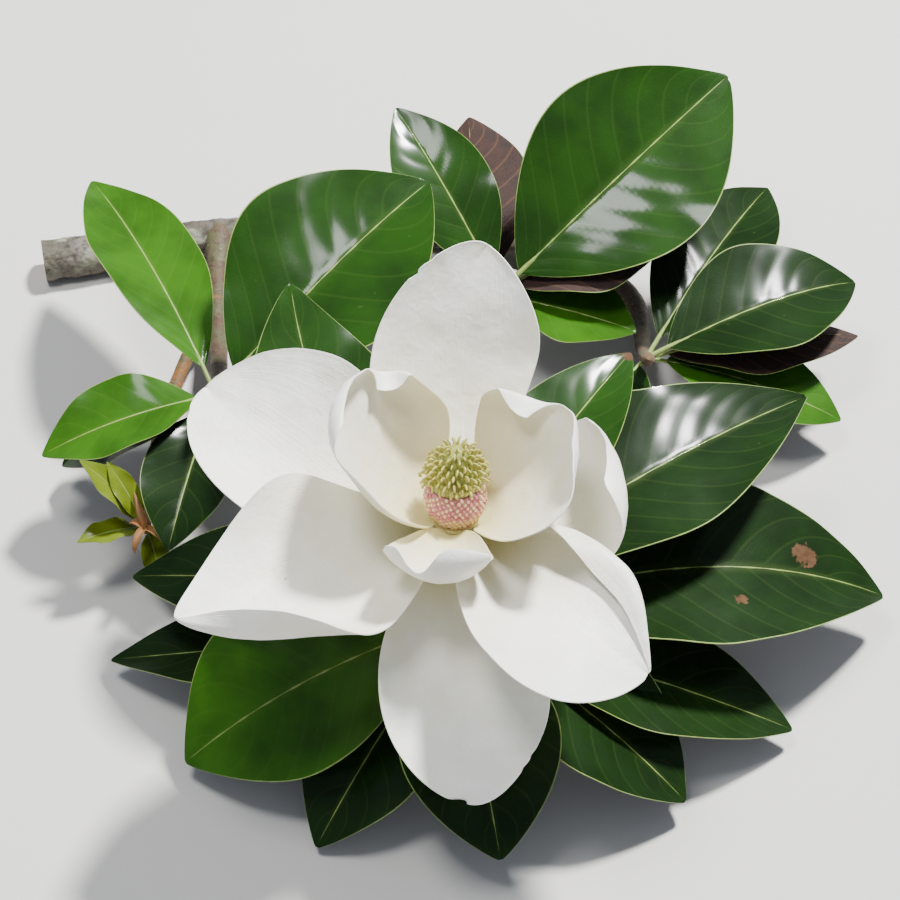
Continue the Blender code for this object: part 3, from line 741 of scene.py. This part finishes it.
def leaf_cuticle(name, green, settings):
    """Leathery evergreen leaf, upper side: a hard wax cuticle over deep green. Glossy, with side veins
    a little paler than the quilted face between them."""
    wax, dullness = WAX[name]
    material, tree, where, cloud, fleck = new_finish(
        "leaf_" + name, [(26, 4.0), (3, 2.0)], Coat_Weight=wax, Coat_Roughness=dullness, Coat_IOR=1.45,
        Specular_IOR_Level=0.04,
    )
    pale = between(green, settings.rib, 0.22)
    _, _, across, count = blade_places(tree)
    vein = side_veins(tree, count, 0.09)
    dead = add_node(tree, "Attribute", out="Fac", attribute_name="dead")
    ragged = add_node(tree, "Math", [dead, fleck], operation="MULTIPLY")
    husk = layered(tree, settings.spot, (fleck, 0.0, 1.0, 0.0, 1.0, settings.spot_pale))
    tone = layered(
        tree, green,
        (cloud, 0.38, 0.66, 0.0, 1.0, toned(green, 0.62)),
        (vein, 0.0, 1.0, 0.0, 0.12, pale),
        (across, 0.0, 0.10, 0.25, 0.0, pale),
        (fleck, 0.74, 0.78, 0.0, 0.3, pale),
        (ragged, 0.22, 0.27, 0.0, 1.0, husk),
    )
    cells = {"Vector": where, "Scale": per_metre(2.2)}
    net = add_node(tree, "TexVoronoi", cells, feature="DISTANCE_TO_EDGE")
    net = add_node(tree, "MapRange", [net, 0.0, 0.12, 0.0, 0.35])
    relief = add_node(tree, "Math", [vein, -0.5, net], operation="MULTIPLY_ADD")
    return wire(material, tone, cloud, (0.44, 0.6), relief, 0.16, 0.5)


def leaf_felt(name, felt, settings):
    """Leaf underside: short dense rusty hairs, their colour darkened partly as painted shade. Quite matt,
    soft at the edges, with low side veins.
    """
    # The hairs are finer than a pixel, so their clumps are drawn 0.7 mm across
    material, tree, _, cloud, clumps = new_finish(
        name, [(9, 3.0), (0.7, 2.0)], Sheen_Weight=0.08, Sheen_Roughness=0.5,
        Sheen_Tint=(*settings.rib_felt, 1),
    )
    vein = side_veins(tree, blade_places(tree)[3], 0.1)
    tone = layered(
        tree, felt,
        (cloud, 0.35, 0.65, 0.0, 1.0, toned(felt, 0.55)),
        (vein, 0.0, 1.0, 0.0, 0.5, between(felt, settings.rib_felt, 0.5)),
    )
    return wire(material, tone, clumps, (0.75, 0.92), clumps, 0.15, 0.7)


def soft_tissue(name, tone, second, lump=2.0, depth=0.15, rough=(0.45, 0.65), **constants):
    """Living plant tissue, such as a rib, a style or a scar: one colour that drifts towards a second
    over lumps of the given size, with relief half that size."""
    clouds = [(lump, 3.0), (lump / 2, 2.0)]
    material, tree, _, drift, fine = new_finish(name, clouds, **constants)
    tone = layered(tree, tone, (drift, 0.35, 0.65, 0.0, 1.0, second))
    return wire(material, tone, drift, rough, fine, depth, 0.6)


def woody(name, tone, layers, rough, grain, depth, **constants):
    """Bark: dull and dry, with layers of colour over each other, each in blotches of its own size."""
    clouds = [(grain, 5.0)] + [(blotch, detail) for _, blotch, detail, *_ in layers]
    material, tree, _, grit, *blotches = new_finish(name, clouds, **constants)
    for cloud, (over, _, _, start, end, share) in zip(blotches, layers):
        tone = layered(tree, tone, (cloud, start, end, 0.0, share, over))
    return wire(material, tone, grit, rough, grit, depth, 0.8)


def limb_bark(settings):
    """Smooth grey magnolia bark: dull and dry, with pale blotches and dark pores."""
    layers = [
        (settings.bark_patch, 26, 4.0, 0.42, 0.62, 1.0),
        (toned(settings.bark, 0.3), 3.5, 4.0, 0.50, 0.68, 0.8),
        (settings.lichen, 14, 4.0, 0.56, 0.64, 0.5),
        (settings.shoot, 40, 2.0, 0.55, 0.70, 0.35),
    ]
    return woody("limb_bark", settings.bark, layers, (0.75, 0.95), 2.2, 0.9)


def shoot_bark(settings):
    """Green-brown bark of a young shoot, with rusty felt left in patches. Satin where it is bare."""
    layers = [
        (settings.shoot_felt, 12, 4.0, 0.40, 0.62, 1.0),
        (toned(settings.shoot_felt, 0.45), 3.0, 4.0, 0.52, 0.66, 0.6),
        (settings.bark_patch, 1.6, 3.0, 0.60, 0.72, 0.5),
    ]
    return woody("shoot_bark", settings.shoot, layers, (0.5, 0.78), 1.2, 0.3, Sheen_Weight=0.03)


def young_bark(settings):
    """This season's soft shoot: orange-brown felt over green, quite matt."""
    layers = [
        (settings.scale, 6, 3.0, 0.36, 0.60, 1.0),
        (toned(settings.scale, 0.45), 2.0, 3.0, 0.55, 0.66, 0.7),
    ]
    return woody("young_bark", settings.shoot, layers, (0.6, 0.85), 0.8, 0.2, Sheen_Weight=0.05)


def sawn_wood(settings):
    """Freshly sawn magnolia wood, end grain: pale and matt, with fine rings about the pith."""
    material, tree, where = new_finish("sawn_wood")
    where = add_node(tree, "Mapping", {"Vector": where, "Location": -CUT_END})
    rings = add_node(
        tree, "TexWave", {"Vector": where, "Scale": per_metre(RING_WIDTH) * WAVE_REPEAT, "Distortion": 0.6},
        wave_type="RINGS", rings_direction="SPHERICAL",
    )
    tone = layered(tree, settings.sapwood, (rings, 0.3, 0.9, 0.0, 0.7, settings.heartwood))
    pores = add_node(tree, "TexNoise", {"Vector": where, "Scale": per_metre(0.6), "Detail": 2.0})
    return wire(material, tone, pores, (0.7, 0.85), pores, 0.1, 0.6)


def pale_plaster(tone):
    """Pale smooth plaster floor: matt, almost even, with the faintest cloudiness."""
    material, tree, _, drift, grit = new_finish("pale_plaster", [(160, 3.0), (2, 2.0)])
    tone = layered(tree, tone, (drift, 0.0, 1.0, 0.0, 1.0, toned(tone, 0.95)))
    return wire(material, tone, drift, (0.78, 0.9), grit, 0.05, 0.3)


# Pieces


def margin_crowded(y, columns):
    """Across the blade, from -1 to 1, with a narrow last column each side for its margin."""
    q = 2 * y - 1
    inner = 1 - 2 / columns
    return np.where(np.abs(q) > inner + TINY, np.sign(q), q * MARGIN / inner)


def bent_blade(cells, blade, place, rise):
    """A sheet bent to the blade, laid at place and raised by rise(s, q, points). Returns it, s and q."""
    stalk = blade.shape["stalk"]

    def spread(x, y):
        return 1 - (1 - stalk) * (1 - x) ** TIP_CROWDING, margin_crowded(y, cells[1])

    def form(x, y):
        s, q = spread(x, y)
        points = moved(blade.points(s, q), place)
        up = blade.at(blade.up, s) @ np.array(place)[:3, :3].T
        return points + up * rise(s, q, points)[:, None]

    sheet, x, y = bent_grid(cells, form)
    return sheet, *spread(x, y)


def shape_of(own):
    """What a table's row says of the shape alone."""
    return {key: value for key, value in own.items() if key not in NOT_SHAPE}


def add_tepal(name, own, settings, finish):
    """One tepal: a grid bent to the blade's form, slightly uneven, with its edge thinned."""
    height, radius = own["foot"]
    turn = Matrix.Rotation(math.radians(own["azimuth"]), 4, "Z")
    place = bloom_frame() @ turn @ Matrix.Translation((radius * MM, 0, height * MM))

    def uneven(s, q, points):
        return lumps(points, 26 * MM, 2) * 1.1 * MM * s + lumps(points, 8 * MM, 2) * 0.22 * MM

    sheet, s, q = bent_blade(TEPAL_CELLS, Blade(TEPAL_SHAPE | shape_of(own)), place, uneven)
    # Each whorl's share of cream, most for the inner one: partly its own colour, partly painted shade deep
    # in the cup
    cream = np.full_like(s, CREAM_AND_SHADE[name.split("_")[0]])
    write_attribute(sheet, "blade", s, q, cream)
    in_slots(sheet, [finish])
    give_thickness(sheet, settings.tepal_thickness, (1 - np.abs(q) ** 5) * (1 - s**12), 0.45)
    hand_over([sheet], "petal_" + name, "tepal_" + name)


def add_leaf(line, own, settings, finishes):
    """One leaf: its blade, and its stalk with the midrib that runs on under the blade."""
    shape = LEAF_SHAPE | shape_of(own)
    shape["width"] *= MM
    base = Vector(smooth_line(line, [own["at"]])[0])
    shape, place = leaf_between(shape, base, Vector(own["tip"]) * MM, own.get("roll", 0))
    blade = Blade(shape)
    small = shape["width"] / LEAF_SHAPE["width"]
    pairs = 4 + round(shape["length"] / VEIN_SPACING)

    def veins(s, q):
        t = np.abs(q)
        return pairs * (s - 0.15 * t - 0.06 * t**2) + np.where(q > 0, 0.0, 0.45)

    def quilted(s, q, points):
        off_vein = np.abs((veins(s, q) + 0.5) % 1 - 0.5)
        sunk = bump(off_vein, 0.2) * settings.vein_depth * (1 - np.abs(q) ** 3) * (1 - s**4)
        return (lumps(points, 34 * MM, 2) * 1.3 * MM * np.abs(q) - sunk) * min(small, 1)

    sheet, s, q = bent_blade(LEAF_CELLS, blade, place, quilted)
    write_attribute(sheet, "blade", s, np.abs(q), veins(s, q))
    dead = np.zeros_like(s)
    for spot_s, spot_q, radius in own.get("spots", ()):
        away = np.hypot((s - spot_s) * shape["length"], (q - spot_q) * blade.half_width(s))
        dead = np.maximum(dead, bump(away, radius * MM))
    write_attribute(sheet, "dead", dead)
    on_margin = [max(abs(q[k]) for k in face.vertices) > MARGIN + TINY for face in sheet.data.polygons]
    # A leaf takes the dark green, partly painted shade, unless its row names another
    in_slots(sheet, finishes, np.where(on_margin, len(finishes) - 1, GREENS.index(own.get("green", "dark"))))
    thickness = settings.thickness * min(1, 0.4 + 0.6 * small)
    give_thickness(sheet, thickness, 1 - np.abs(q) ** 4, 0.5, len(GREENS))
    return sheet, add_rib(blade, place, small, settings)


def add_rib(blade, place, small, settings):
    """The stalk and midrib: a round tapering rod under the blade that shows as a pale line on top."""
    stalk = blade.shape["stalk"]
    top = settings.thickness * 0.64
    thick = settings.rib_radius * min(1.15, 0.35 + 0.65 * small)

    def form(x, y):
        s = x * 0.985
        radius = thick * (1 - 0.82 * s**0.7) * (1 + 0.5 * bump(s, 0.018))
        sink = np.clip((s - stalk) / 0.08, 0, 1) * np.maximum(radius - top, 0)
        centre = blade.at(blade.middle, s) - blade.at(blade.up, s) * sink[:, None]
        return moved(centre + around(blade, s, 2 * np.pi * y) * radius[:, None], place)

    return rolled_up(bent_grid(RIB_CELLS, form)[0])


def add_stem(stem, part, settings, cell=BARK_CELL, rings=(), flare=0.0, lump=1.0, seed=0):
    """A stem's bark: a tube along its course with lumps, pores, and the ring scars of old leaves."""
    radii = stem["radii"]
    start, span = part[0], part[1] - part[0]
    course = Course(stem["line"], part)
    rows = round(course.length / cell)
    sides = round(2 * math.pi * max(radii) * MM / cell)
    draw = random.Random(SEED + seed)
    # Each pore's place along the stem, its place round it, and its share of the relief
    ranges = part, (0, 2 * math.pi), (0.5, 1.1)
    pores = [[draw.uniform(*ends) for ends in ranges] for _ in range(rows // 3)]
    relief = settings.relief * lump

    def form(x, y):
        place = start + span * x
        angle = 2 * np.pi * y
        radius = (radii[0] + (radii[1] - radii[0]) * place) * MM
        outward = around(course, place, angle)
        skin = course.at(course.middle, place) + outward * radius[:, None]
        height = relief * sum(share * lumps(skin, coarse, octaves) for coarse, octaves, share in BARK_LUMPS)
        for at, side, deep in pores:
            aside = (angle - side + np.pi) % (2 * np.pi) - np.pi
            off = np.hypot((place - at) / span * course.length / PORE[0], aside * radius / PORE[1])
            height += 0.35 * relief * deep * bump(off, 1)
        for at in rings:
            off = (place - at) / span * course.length
            height += 0.45 * MM * bump(off, 0.7 * MM) - 0.2 * MM * bump(off, 2.2 * MM)
        height += flare * radius * bump(x * course.length, 2.6 * radii[0] * MM)
        return moved(skin + outward * height[:, None], Matrix())

    return rolled_up(bent_grid((rows, sides), form)[0])


def add_bud(tip, direction, length, radius):
    """A pointed felted bud: a ball drawn out to a tip, with the seam of its wrapping scale."""
    choose()
    bpy.ops.mesh.primitive_uv_sphere_add(segments=24, ring_count=18, radius=1)
    bud = bpy.context.object
    ball = coordinates(bud.data)
    up = (ball[:, 2] + 1) / 2
    swell = np.sin(np.pi * up**0.75) ** 0.9 * (1 - 0.25 * up)
    angle = np.arctan2(ball[:, 1], ball[:, 0])
    seam = 1 - 0.16 * bump(angle - 2.2 * up, 0.22)
    width = radius * (swell + 0.25 * (1 - up)) * seam
    width[np.abs(ball[:, 2]) > 0.9999] = 0
    skin = np.stack([np.cos(angle) * width, np.sin(angle) * width, up * length - 0.1 * length], 1)
    place = Matrix.Translation(tip) @ Vector(direction).to_track_quat("Z", "Y").to_matrix().to_4x4()
    bud.data.vertices.foreach_set("co", moved(skin, place).ravel())
    return bud


def add_scale(foot, turn, length):
    """A dry papery scale of the young shoot: a narrow pointed blade that curls back and down."""
    blade = Blade(LEAF_SHAPE | SCALE_SHAPE | {"length": length * MM})
    place = Matrix.Translation(foot) @ Matrix.Rotation(math.radians(turn), 4, "Z")
    sheet, _, y = bent_grid(SCALE_CELLS, lambda x, y: moved(blade.points(x, 2 * y - 1), place))
    give_thickness(sheet, 0.5 * MM, 1 - np.abs(2 * y - 1) ** 4, 0.5)
    return sheet


def turned_line(profile, at):
    """Places, for at from 0 to 1, on the smooth line through a profile of (radius, height)."""
    return smooth_line([(radius, 0, height) for radius, height in profile], at)


def turned(profile, cells):
    """A profile turned about the bloom's axis and closed on it, top and bottom, by straight rows."""
    def form(x, y):
        side = turned_line(profile, np.clip((x - CAP) / (1 - 2 * CAP), 0, 1))
        radius = side[:, 0] * np.clip(np.minimum(x, 1 - x) / CAP, 0, 1)
        angle = 2 * np.pi * y
        points = np.stack([radius * np.cos(angle), radius * np.sin(angle), side[:, 2]], 1)
        return moved(points, bloom_frame())

    return rolled_up(bent_grid(cells, form)[0])


def spots_on(profile, count, start, end):
    """Places spread evenly by the golden angle over a turned profile, each (point, outward, share)."""
    table = np.linspace(0, 1, 200)
    line = turned_line(profile, table)[:, (0, 2)]
    step = np.hypot(*np.diff(line, axis=0).T)
    area = np.concatenate([[0], np.cumsum((line[1:, 0] + line[:-1, 0]) / 2 * step)])
    area /= area[-1]
    found = []
    for k in range(count):
        share = start + (end - start) * (k + 0.5) / count
        at = np.interp(share, area, table)
        (radius, height), ahead, behind = interpolated(table, line, np.array([at, at + 0.02, at - 0.02]))
        slope = ahead - behind
        across = Vector((math.cos(k * GOLDEN_ANGLE), math.sin(k * GOLDEN_ANGLE), 0))
        outward = (across * slope[1] - Vector((0, 0, 1)) * slope[0]).normalized()
        found.append((across * radius + Vector((0, 0, height)), outward, share))
    return found


def copies(template, places, finishes):
    """A copy of the template, with its own mesh and finish, at each place."""
    made = []
    for place, finish in places:
        mesh = template.data.copy()
        mesh.transform(Matrix.Translation(SHIFT) @ place)
        made.append(bpy.data.objects.new(template.name, mesh))
        bpy.context.scene.collection.objects.link(made[-1])
        in_slots(made[-1], finishes, [finish] * len(mesh.polygons))
    bpy.data.objects.remove(template)
    return made


def frame_on(point, outward, lean=0.0, spin=0.0):
    """A matrix that stands something on a surface: +Z outward, +X turned up towards the bloom's axis."""
    axis = Vector((0, 0, 1))
    up = (axis - outward * outward.dot(axis)).normalized()
    turn = Matrix((up, outward.cross(up), outward)).transposed().to_4x4()
    return Matrix.Translation(point) @ turn @ Matrix.Rotation(spin, 4, "Z") @ Matrix.Rotation(lean, 4, "Y")


def curled_style(curl, length, width):
    """One style: a tapering rod of a few dozen faces that curls over at its tip."""

    def form(x, y):
        steps = np.linspace(0, 1, STYLE_POINTS)
        bend = np.radians(8 + curl * steps**2.6)
        moves = np.stack([np.sin(bend), np.cos(bend)], 1)[:-1] / (STYLE_POINTS - 1)
        run = np.concatenate([[[0, 0]], np.cumsum(moves, 0)]) * length
        centre = interpolated(steps, run, x)
        tilt = np.interp(x, steps, bend)
        radius = width * (1 - 0.18 * x + 0.5 * bump(x, 0.2)) * np.where(x > 0.99, 0.5, 1)
        angle = 2 * np.pi * y
        out = radius * np.cos(angle)
        back = -(centre[:, 0] + out * np.cos(tilt))
        return np.stack([back, radius * np.sin(angle) * 0.85, centre[:, 1] - out * np.sin(tilt)], 1)

    return rolled_up(bent_grid(STYLE_CELLS, form)[0])


class MAGNOLIA_OT_add_tepals(bpy.types.Operator):
    """Add the nine tepals of the open bloom"""

    bl_idname = "magnolia.add_tepals"
    bl_label = "Add Tepals"

    def execute(self, context):
        settings = context.scene.magnolia_bloom
        finish = fresh_tepal(settings)
        for name, own in TEPALS.items():
            add_tepal(name, own, settings, finish)
        return {"FINISHED"}


class MAGNOLIA_OT_add_bloom_middle(bpy.types.Operator):
    """Add the receptacle, the band of stamen scars and the cone of carpels"""

    bl_idname = "magnolia.add_bloom_middle"
    bl_label = "Add Bloom Middle"

    def execute(self, context):
        settings = context.scene.magnolia_bloom
        seat = turned(RECEPTACLE, (60, 64))
        in_slots(seat, [soft_tissue("receptacle_flesh", settings.receptacle, settings.tepal_foot_and_shade, 4)])
        hand_over([seat], "bloom_receptacle", "receptacle")
        self.add_scars(settings)
        self.add_carpels(settings)
        return {"FINISHED"}

    def add_scars(self, settings):
        """A pink core crowded with low stubs, each the foot of a dropped stamen."""
        core = turned([(radius - 0.7, height) for radius, height in STAMEN_BAND], (60, 72))
        finishes = []
        for name in ("scar_purple", "scar_pink", "scar_cream", "scar_tan"):
            tone = getattr(settings, name)
            second = between(tone, settings.scar_pink, 0.35)
            finishes.append(
                soft_tissue(name, tone, second, 0.9, 0.12, Subsurface_Weight=0.1, Subsurface_Scale=0.8 * MM)
            )
        to_bloom = bloom_frame().inverted()
        low = [(to_bloom @ (face.center - SHIFT)).z < TAN_HEIGHT for face in core.data.polygons]
        in_slots(core, finishes, np.where(low, len(finishes) - 1, 0))
        choose()
        bpy.ops.mesh.primitive_cone_add(vertices=7, radius1=1.0 * MM, radius2=0.72 * MM, depth=1.1 * MM)
        stub = bpy.context.object
        draw = random.Random(SEED)
        places = []
        for point, outward, share in spots_on(STAMEN_BAND, STAMENS, 0.03, 0.99):
            place = bloom_frame() @ frame_on(point - outward * 0.45 * MM, outward, spin=draw.uniform(0, 1))
            place = place @ Matrix.Diagonal((1, draw.uniform(0.75, 1), draw.uniform(0.8, 1.15), 1))
            odds = (0.06, 0.26, 0.60, 0.08) if share > 0.35 else (0.0, 0.03, 0.22, 0.75)
            places.append((place, draw.choices(range(4), odds)[0]))
        hand_over([core] + copies(stub, places, finishes), "stamen_scars", "stamen_band")

    def add_carpels(self, settings):
        """The green cone with its curled styles in golden-angle order."""
        core = turned([(radius * 0.9, height) for radius, height in CARPEL_CONE], (48, 60))
        pale, green = settings.style, settings.style_green
        glow = dict(Subsurface_Weight=0.12, Subsurface_Scale=0.8 * MM)
        finishes = [
            soft_tissue("carpel_green", settings.carpel, green, 2.0),
            soft_tissue("style_pale", pale, green, 3.5, **glow),
            soft_tissue("style_green", green, pale, 3.0, **glow),
            soft_tissue("style_browned", toned(settings.scar_tan, 0.5), green, 3.0),
        ]
        in_slots(core, finishes)
        draw = random.Random(SEED + 1)
        spots = spots_on(CARPEL_CONE, STYLES, 0.0, 0.99)
        parts = [core]
        for kind, (curl, length) in enumerate(STYLE_KINDS):
            places = []
            for point, outward, share in spots[kind::len(STYLE_KINDS)]:
                lean = math.radians(draw.uniform(52, 72) * (1 - 0.4 * share))
                place = frame_on(point - outward * 1.8 * MM, outward, lean, draw.uniform(-0.3, 0.3))
                place = bloom_frame() @ place @ Matrix.Scale(draw.uniform(0.85, 1.1) * (1 - 0.2 * share), 4)
                places.append((place, draw.choices((1, 2, 3), (0.56, 0.36, 0.08))[0]))
            parts += copies(curled_style(curl, length * MM, 0.88 * MM), places, finishes)
        hand_over(parts, "carpel_styles", "carpel_cone")


class MAGNOLIA_OT_add_wood(bpy.types.Operator):
    """Add the limb with its bark and sawn end, the shoots and their buds"""

    bl_idname = "magnolia.add_wood"
    bl_label = "Add Limb and Shoots"

    def execute(self, context):
        settings = context.scene.magnolia_wood
        bark, shoot, young = limb_bark(settings), shoot_bark(settings), young_bark(settings)
        stem = STEMS["right"]
        limb = add_stem(stem, (0, stem["start"]), settings, rings=LIMB_RINGS, lump=LIMB_LUMP)
        # The two ends are the only faces with more than four corners
        ends = [len(face.vertices) > 4 for face in limb.data.polygons]
        near = [(face.center - CUT_END).length < 3 * MM for face in limb.data.polygons]
        in_slots(limb, [bark, sawn_wood(settings)], np.logical_and(ends, near))
        hand_over([limb], "limb_bark", "limb")
        for number, (name, stem) in enumerate(STEMS.items()):
            start = stem.get("start", 0)
            feet = {round(own["at"], 3) for own in stem["leaves"].values()}
            tube = add_stem(
                stem, (start, 1), settings, cell=BARK_CELL * (0.6 if name == "young" else 1),
                rings=sorted(feet | {start + beyond for beyond in SHOOT_RINGS}),
                flare=0.0 if name == "right" else SHOOT_FLARE, lump=SHOOT_LUMP, seed=number + 1,
            )
            in_slots(tube, [young if name == "young" else shoot])
            hand_over([tube], name + "_shoot_bark", name + "_shoot")
        self.add_buds(settings)
        return {"FINISHED"}

    def add_buds(self, settings):
        """A bud at the end of every shoot but the bloom's. The young shoot's is long and dry, over
        its papery curled scales."""
        tones = settings.bud, settings.shoot_felt
        felt = soft_tissue("bud_felt", *tones, 2.0, 0.2, (0.7, 0.9), Sheen_Weight=0.06)
        dry = soft_tissue("dry_bud_scale", settings.scale, settings.bud, 3.0, 0.2, (0.6, 0.8))
        for name, stem in STEMS.items():
            if name == "bloom":
                continue
            end = smooth_line(stem["line"], [0.97, 1.0])
            direction, slender = stem.get("bud", (end[1] - end[0], BUD_LENGTH))
            radius = stem["radii"][1] * MM * BUD_SWELL
            parts = [add_bud(Vector(end[1]), direction, slender * radius, radius)]
            if name == "young":
                parts += [add_scale(end[1], turn, length) for turn, length in DRY_SCALES]
            for part in parts:
                in_slots(part, [dry if name == "young" else felt])
            hand_over(parts, name + "_bud", name + "_leaves")


class MAGNOLIA_OT_add_leaves(bpy.types.Operator):
    """Add the leaves of each mass, with their stalks and midribs"""

    bl_idname = "magnolia.add_leaves"
    bl_label = "Add Leaves"

    def execute(self, context):
        settings = context.scene.magnolia_leaves
        cuticles = [leaf_cuticle(green, getattr(settings, green), settings) for green in GREENS]
        felt = leaf_felt("leaf_felt", settings.felt, settings)
        young_felt = leaf_felt("young_leaf_felt", settings.young_felt, settings)
        margin = soft_tissue("leaf_margin", settings.margin, settings.rib, 3.0, 0.05, Coat_Weight=0.3)
        finishes = cuticles + [felt, felt, felt, young_felt, margin]
        rib = soft_tissue("midrib", settings.rib, settings.margin, 4.0, 0.05, Coat_Weight=0.3)
        for mass, stem in STEMS.items():
            blades, ribs = [], []
            for own in stem["leaves"].values():
                blade, stalk = add_leaf(stem["line"], own, settings, finishes)
                in_slots(stalk, [rib])
                blades.append(blade)
                ribs.append(stalk)
            hand_over(blades, mass + "_leaf_blades", mass + "_leaves")
            hand_over(ribs, mass + "_leaf_stalks", mass + "_leaves")
        return {"FINISHED"}


class MAGNOLIA_OT_set_stage(bpy.types.Operator):
    """Set the floor, the lights and the camera"""

    bl_idname = "magnolia.set_stage"
    bl_label = "Set Stage"

    def execute(self, context):
        settings = context.scene.magnolia_stage
        choose()
        bpy.ops.mesh.primitive_plane_add(size=FLOOR_SIZE)
        floor = bpy.context.object
        floor.name = "floor"
        in_slots(floor, [pale_plaster(settings.floor)])
        bloom = SHIFT + Vector(BLOOM_FOOT) * MM
        self.add_camera(settings, bloom)
        for name, light in LIGHTS.items():
            self.add_light(name + "_light", bloom, *light, getattr(settings, name + "_power"))
        world = bpy.data.worlds.new("soft_room")
        world.use_nodes = True
        background = world.node_tree.nodes["Background"].inputs
        background["Color"].default_value = (*settings.sky, 1)
        background["Strength"].default_value = settings.sky_strength
        bpy.context.scene.world = world
        return {"FINISHED"}

    def add_camera(self, settings, bloom):
        """The photograph's viewing angle: the bloom's foot lies a little right of and below the middle."""
        right = Vector((1, 0, 0))
        back = Vector((0, -math.cos(settings.elevation), math.sin(settings.elevation)))
        aside, above = (shift * settings.view_width / PICTURE_WIDTH for shift in PICTURE_MIDDLE)
        place = bloom + back * settings.distance + right * aside + back.cross(right) * above
        bpy.ops.object.camera_add(location=place)
        camera = bpy.context.object
        camera.name = "camera"
        camera.rotation_euler = back.to_track_quat("Z", "Y").to_euler()
        camera.data.sensor_width = 36
        camera.data.lens = camera.data.sensor_width * settings.distance / settings.view_width
        camera.data.clip_start = 0.05
        bpy.context.scene.camera = camera

    def add_light(self, name, target, direction, distance, width, power):
        direction = Vector(direction).normalized()
        bpy.ops.object.light_add(type="AREA", location=target + direction * distance)
        light = bpy.context.object
        light.name = name
        light.rotation_euler = direction.to_track_quat("Z", "Y").to_euler()
        light.data.shape = "DISK"
        light.data.size = width
        light.data.energy = power


class MAGNOLIA_PT_branch(bpy.types.Panel):
    """Sizes, colours and buttons of the magnolia branch"""

    bl_label = "Magnolia Branch"
    bl_space_type = "VIEW_3D"
    bl_region_type = "UI"
    bl_category = "Magnolia"

    def draw(self, context):
        for kind in OPERATORS:
            self.layout.operator(kind.bl_idname, text=kind.bl_label)
        for name, kind in SETTINGS.items():
            box = self.layout.box()
            box.label(text=kind.__doc__)
            for key in kind.__annotations__:
                box.prop(getattr(context.scene, name), key)


SETTINGS = {
    "magnolia_bloom": BloomSettings,
    "magnolia_leaves": LeafSettings,
    "magnolia_wood": WoodSettings,
    "magnolia_stage": StageSettings,
}
OPERATORS = (
    MAGNOLIA_OT_add_tepals,
    MAGNOLIA_OT_add_bloom_middle,
    MAGNOLIA_OT_add_wood,
    MAGNOLIA_OT_add_leaves,
    MAGNOLIA_OT_set_stage,
)
CLASSES = (*SETTINGS.values(), *OPERATORS, MAGNOLIA_PT_branch)


def register():
    for kind in CLASSES:
        bpy.utils.register_class(kind)
    for name, kind in SETTINGS.items():
        setattr(bpy.types.Scene, name, bpy.props.PointerProperty(type=kind))


def unregister():
    for name in SETTINGS:
        delattr(bpy.types.Scene, name)
    for kind in reversed(CLASSES):
        bpy.utils.unregister_class(kind)


def main():
    register()
    bpy.ops.magnolia.add_tepals()
    bpy.ops.magnolia.add_bloom_middle()
    bpy.ops.magnolia.add_wood()
    bpy.ops.magnolia.add_leaves()
    bpy.ops.magnolia.set_stage()


if __name__ == "__main__":
    main()
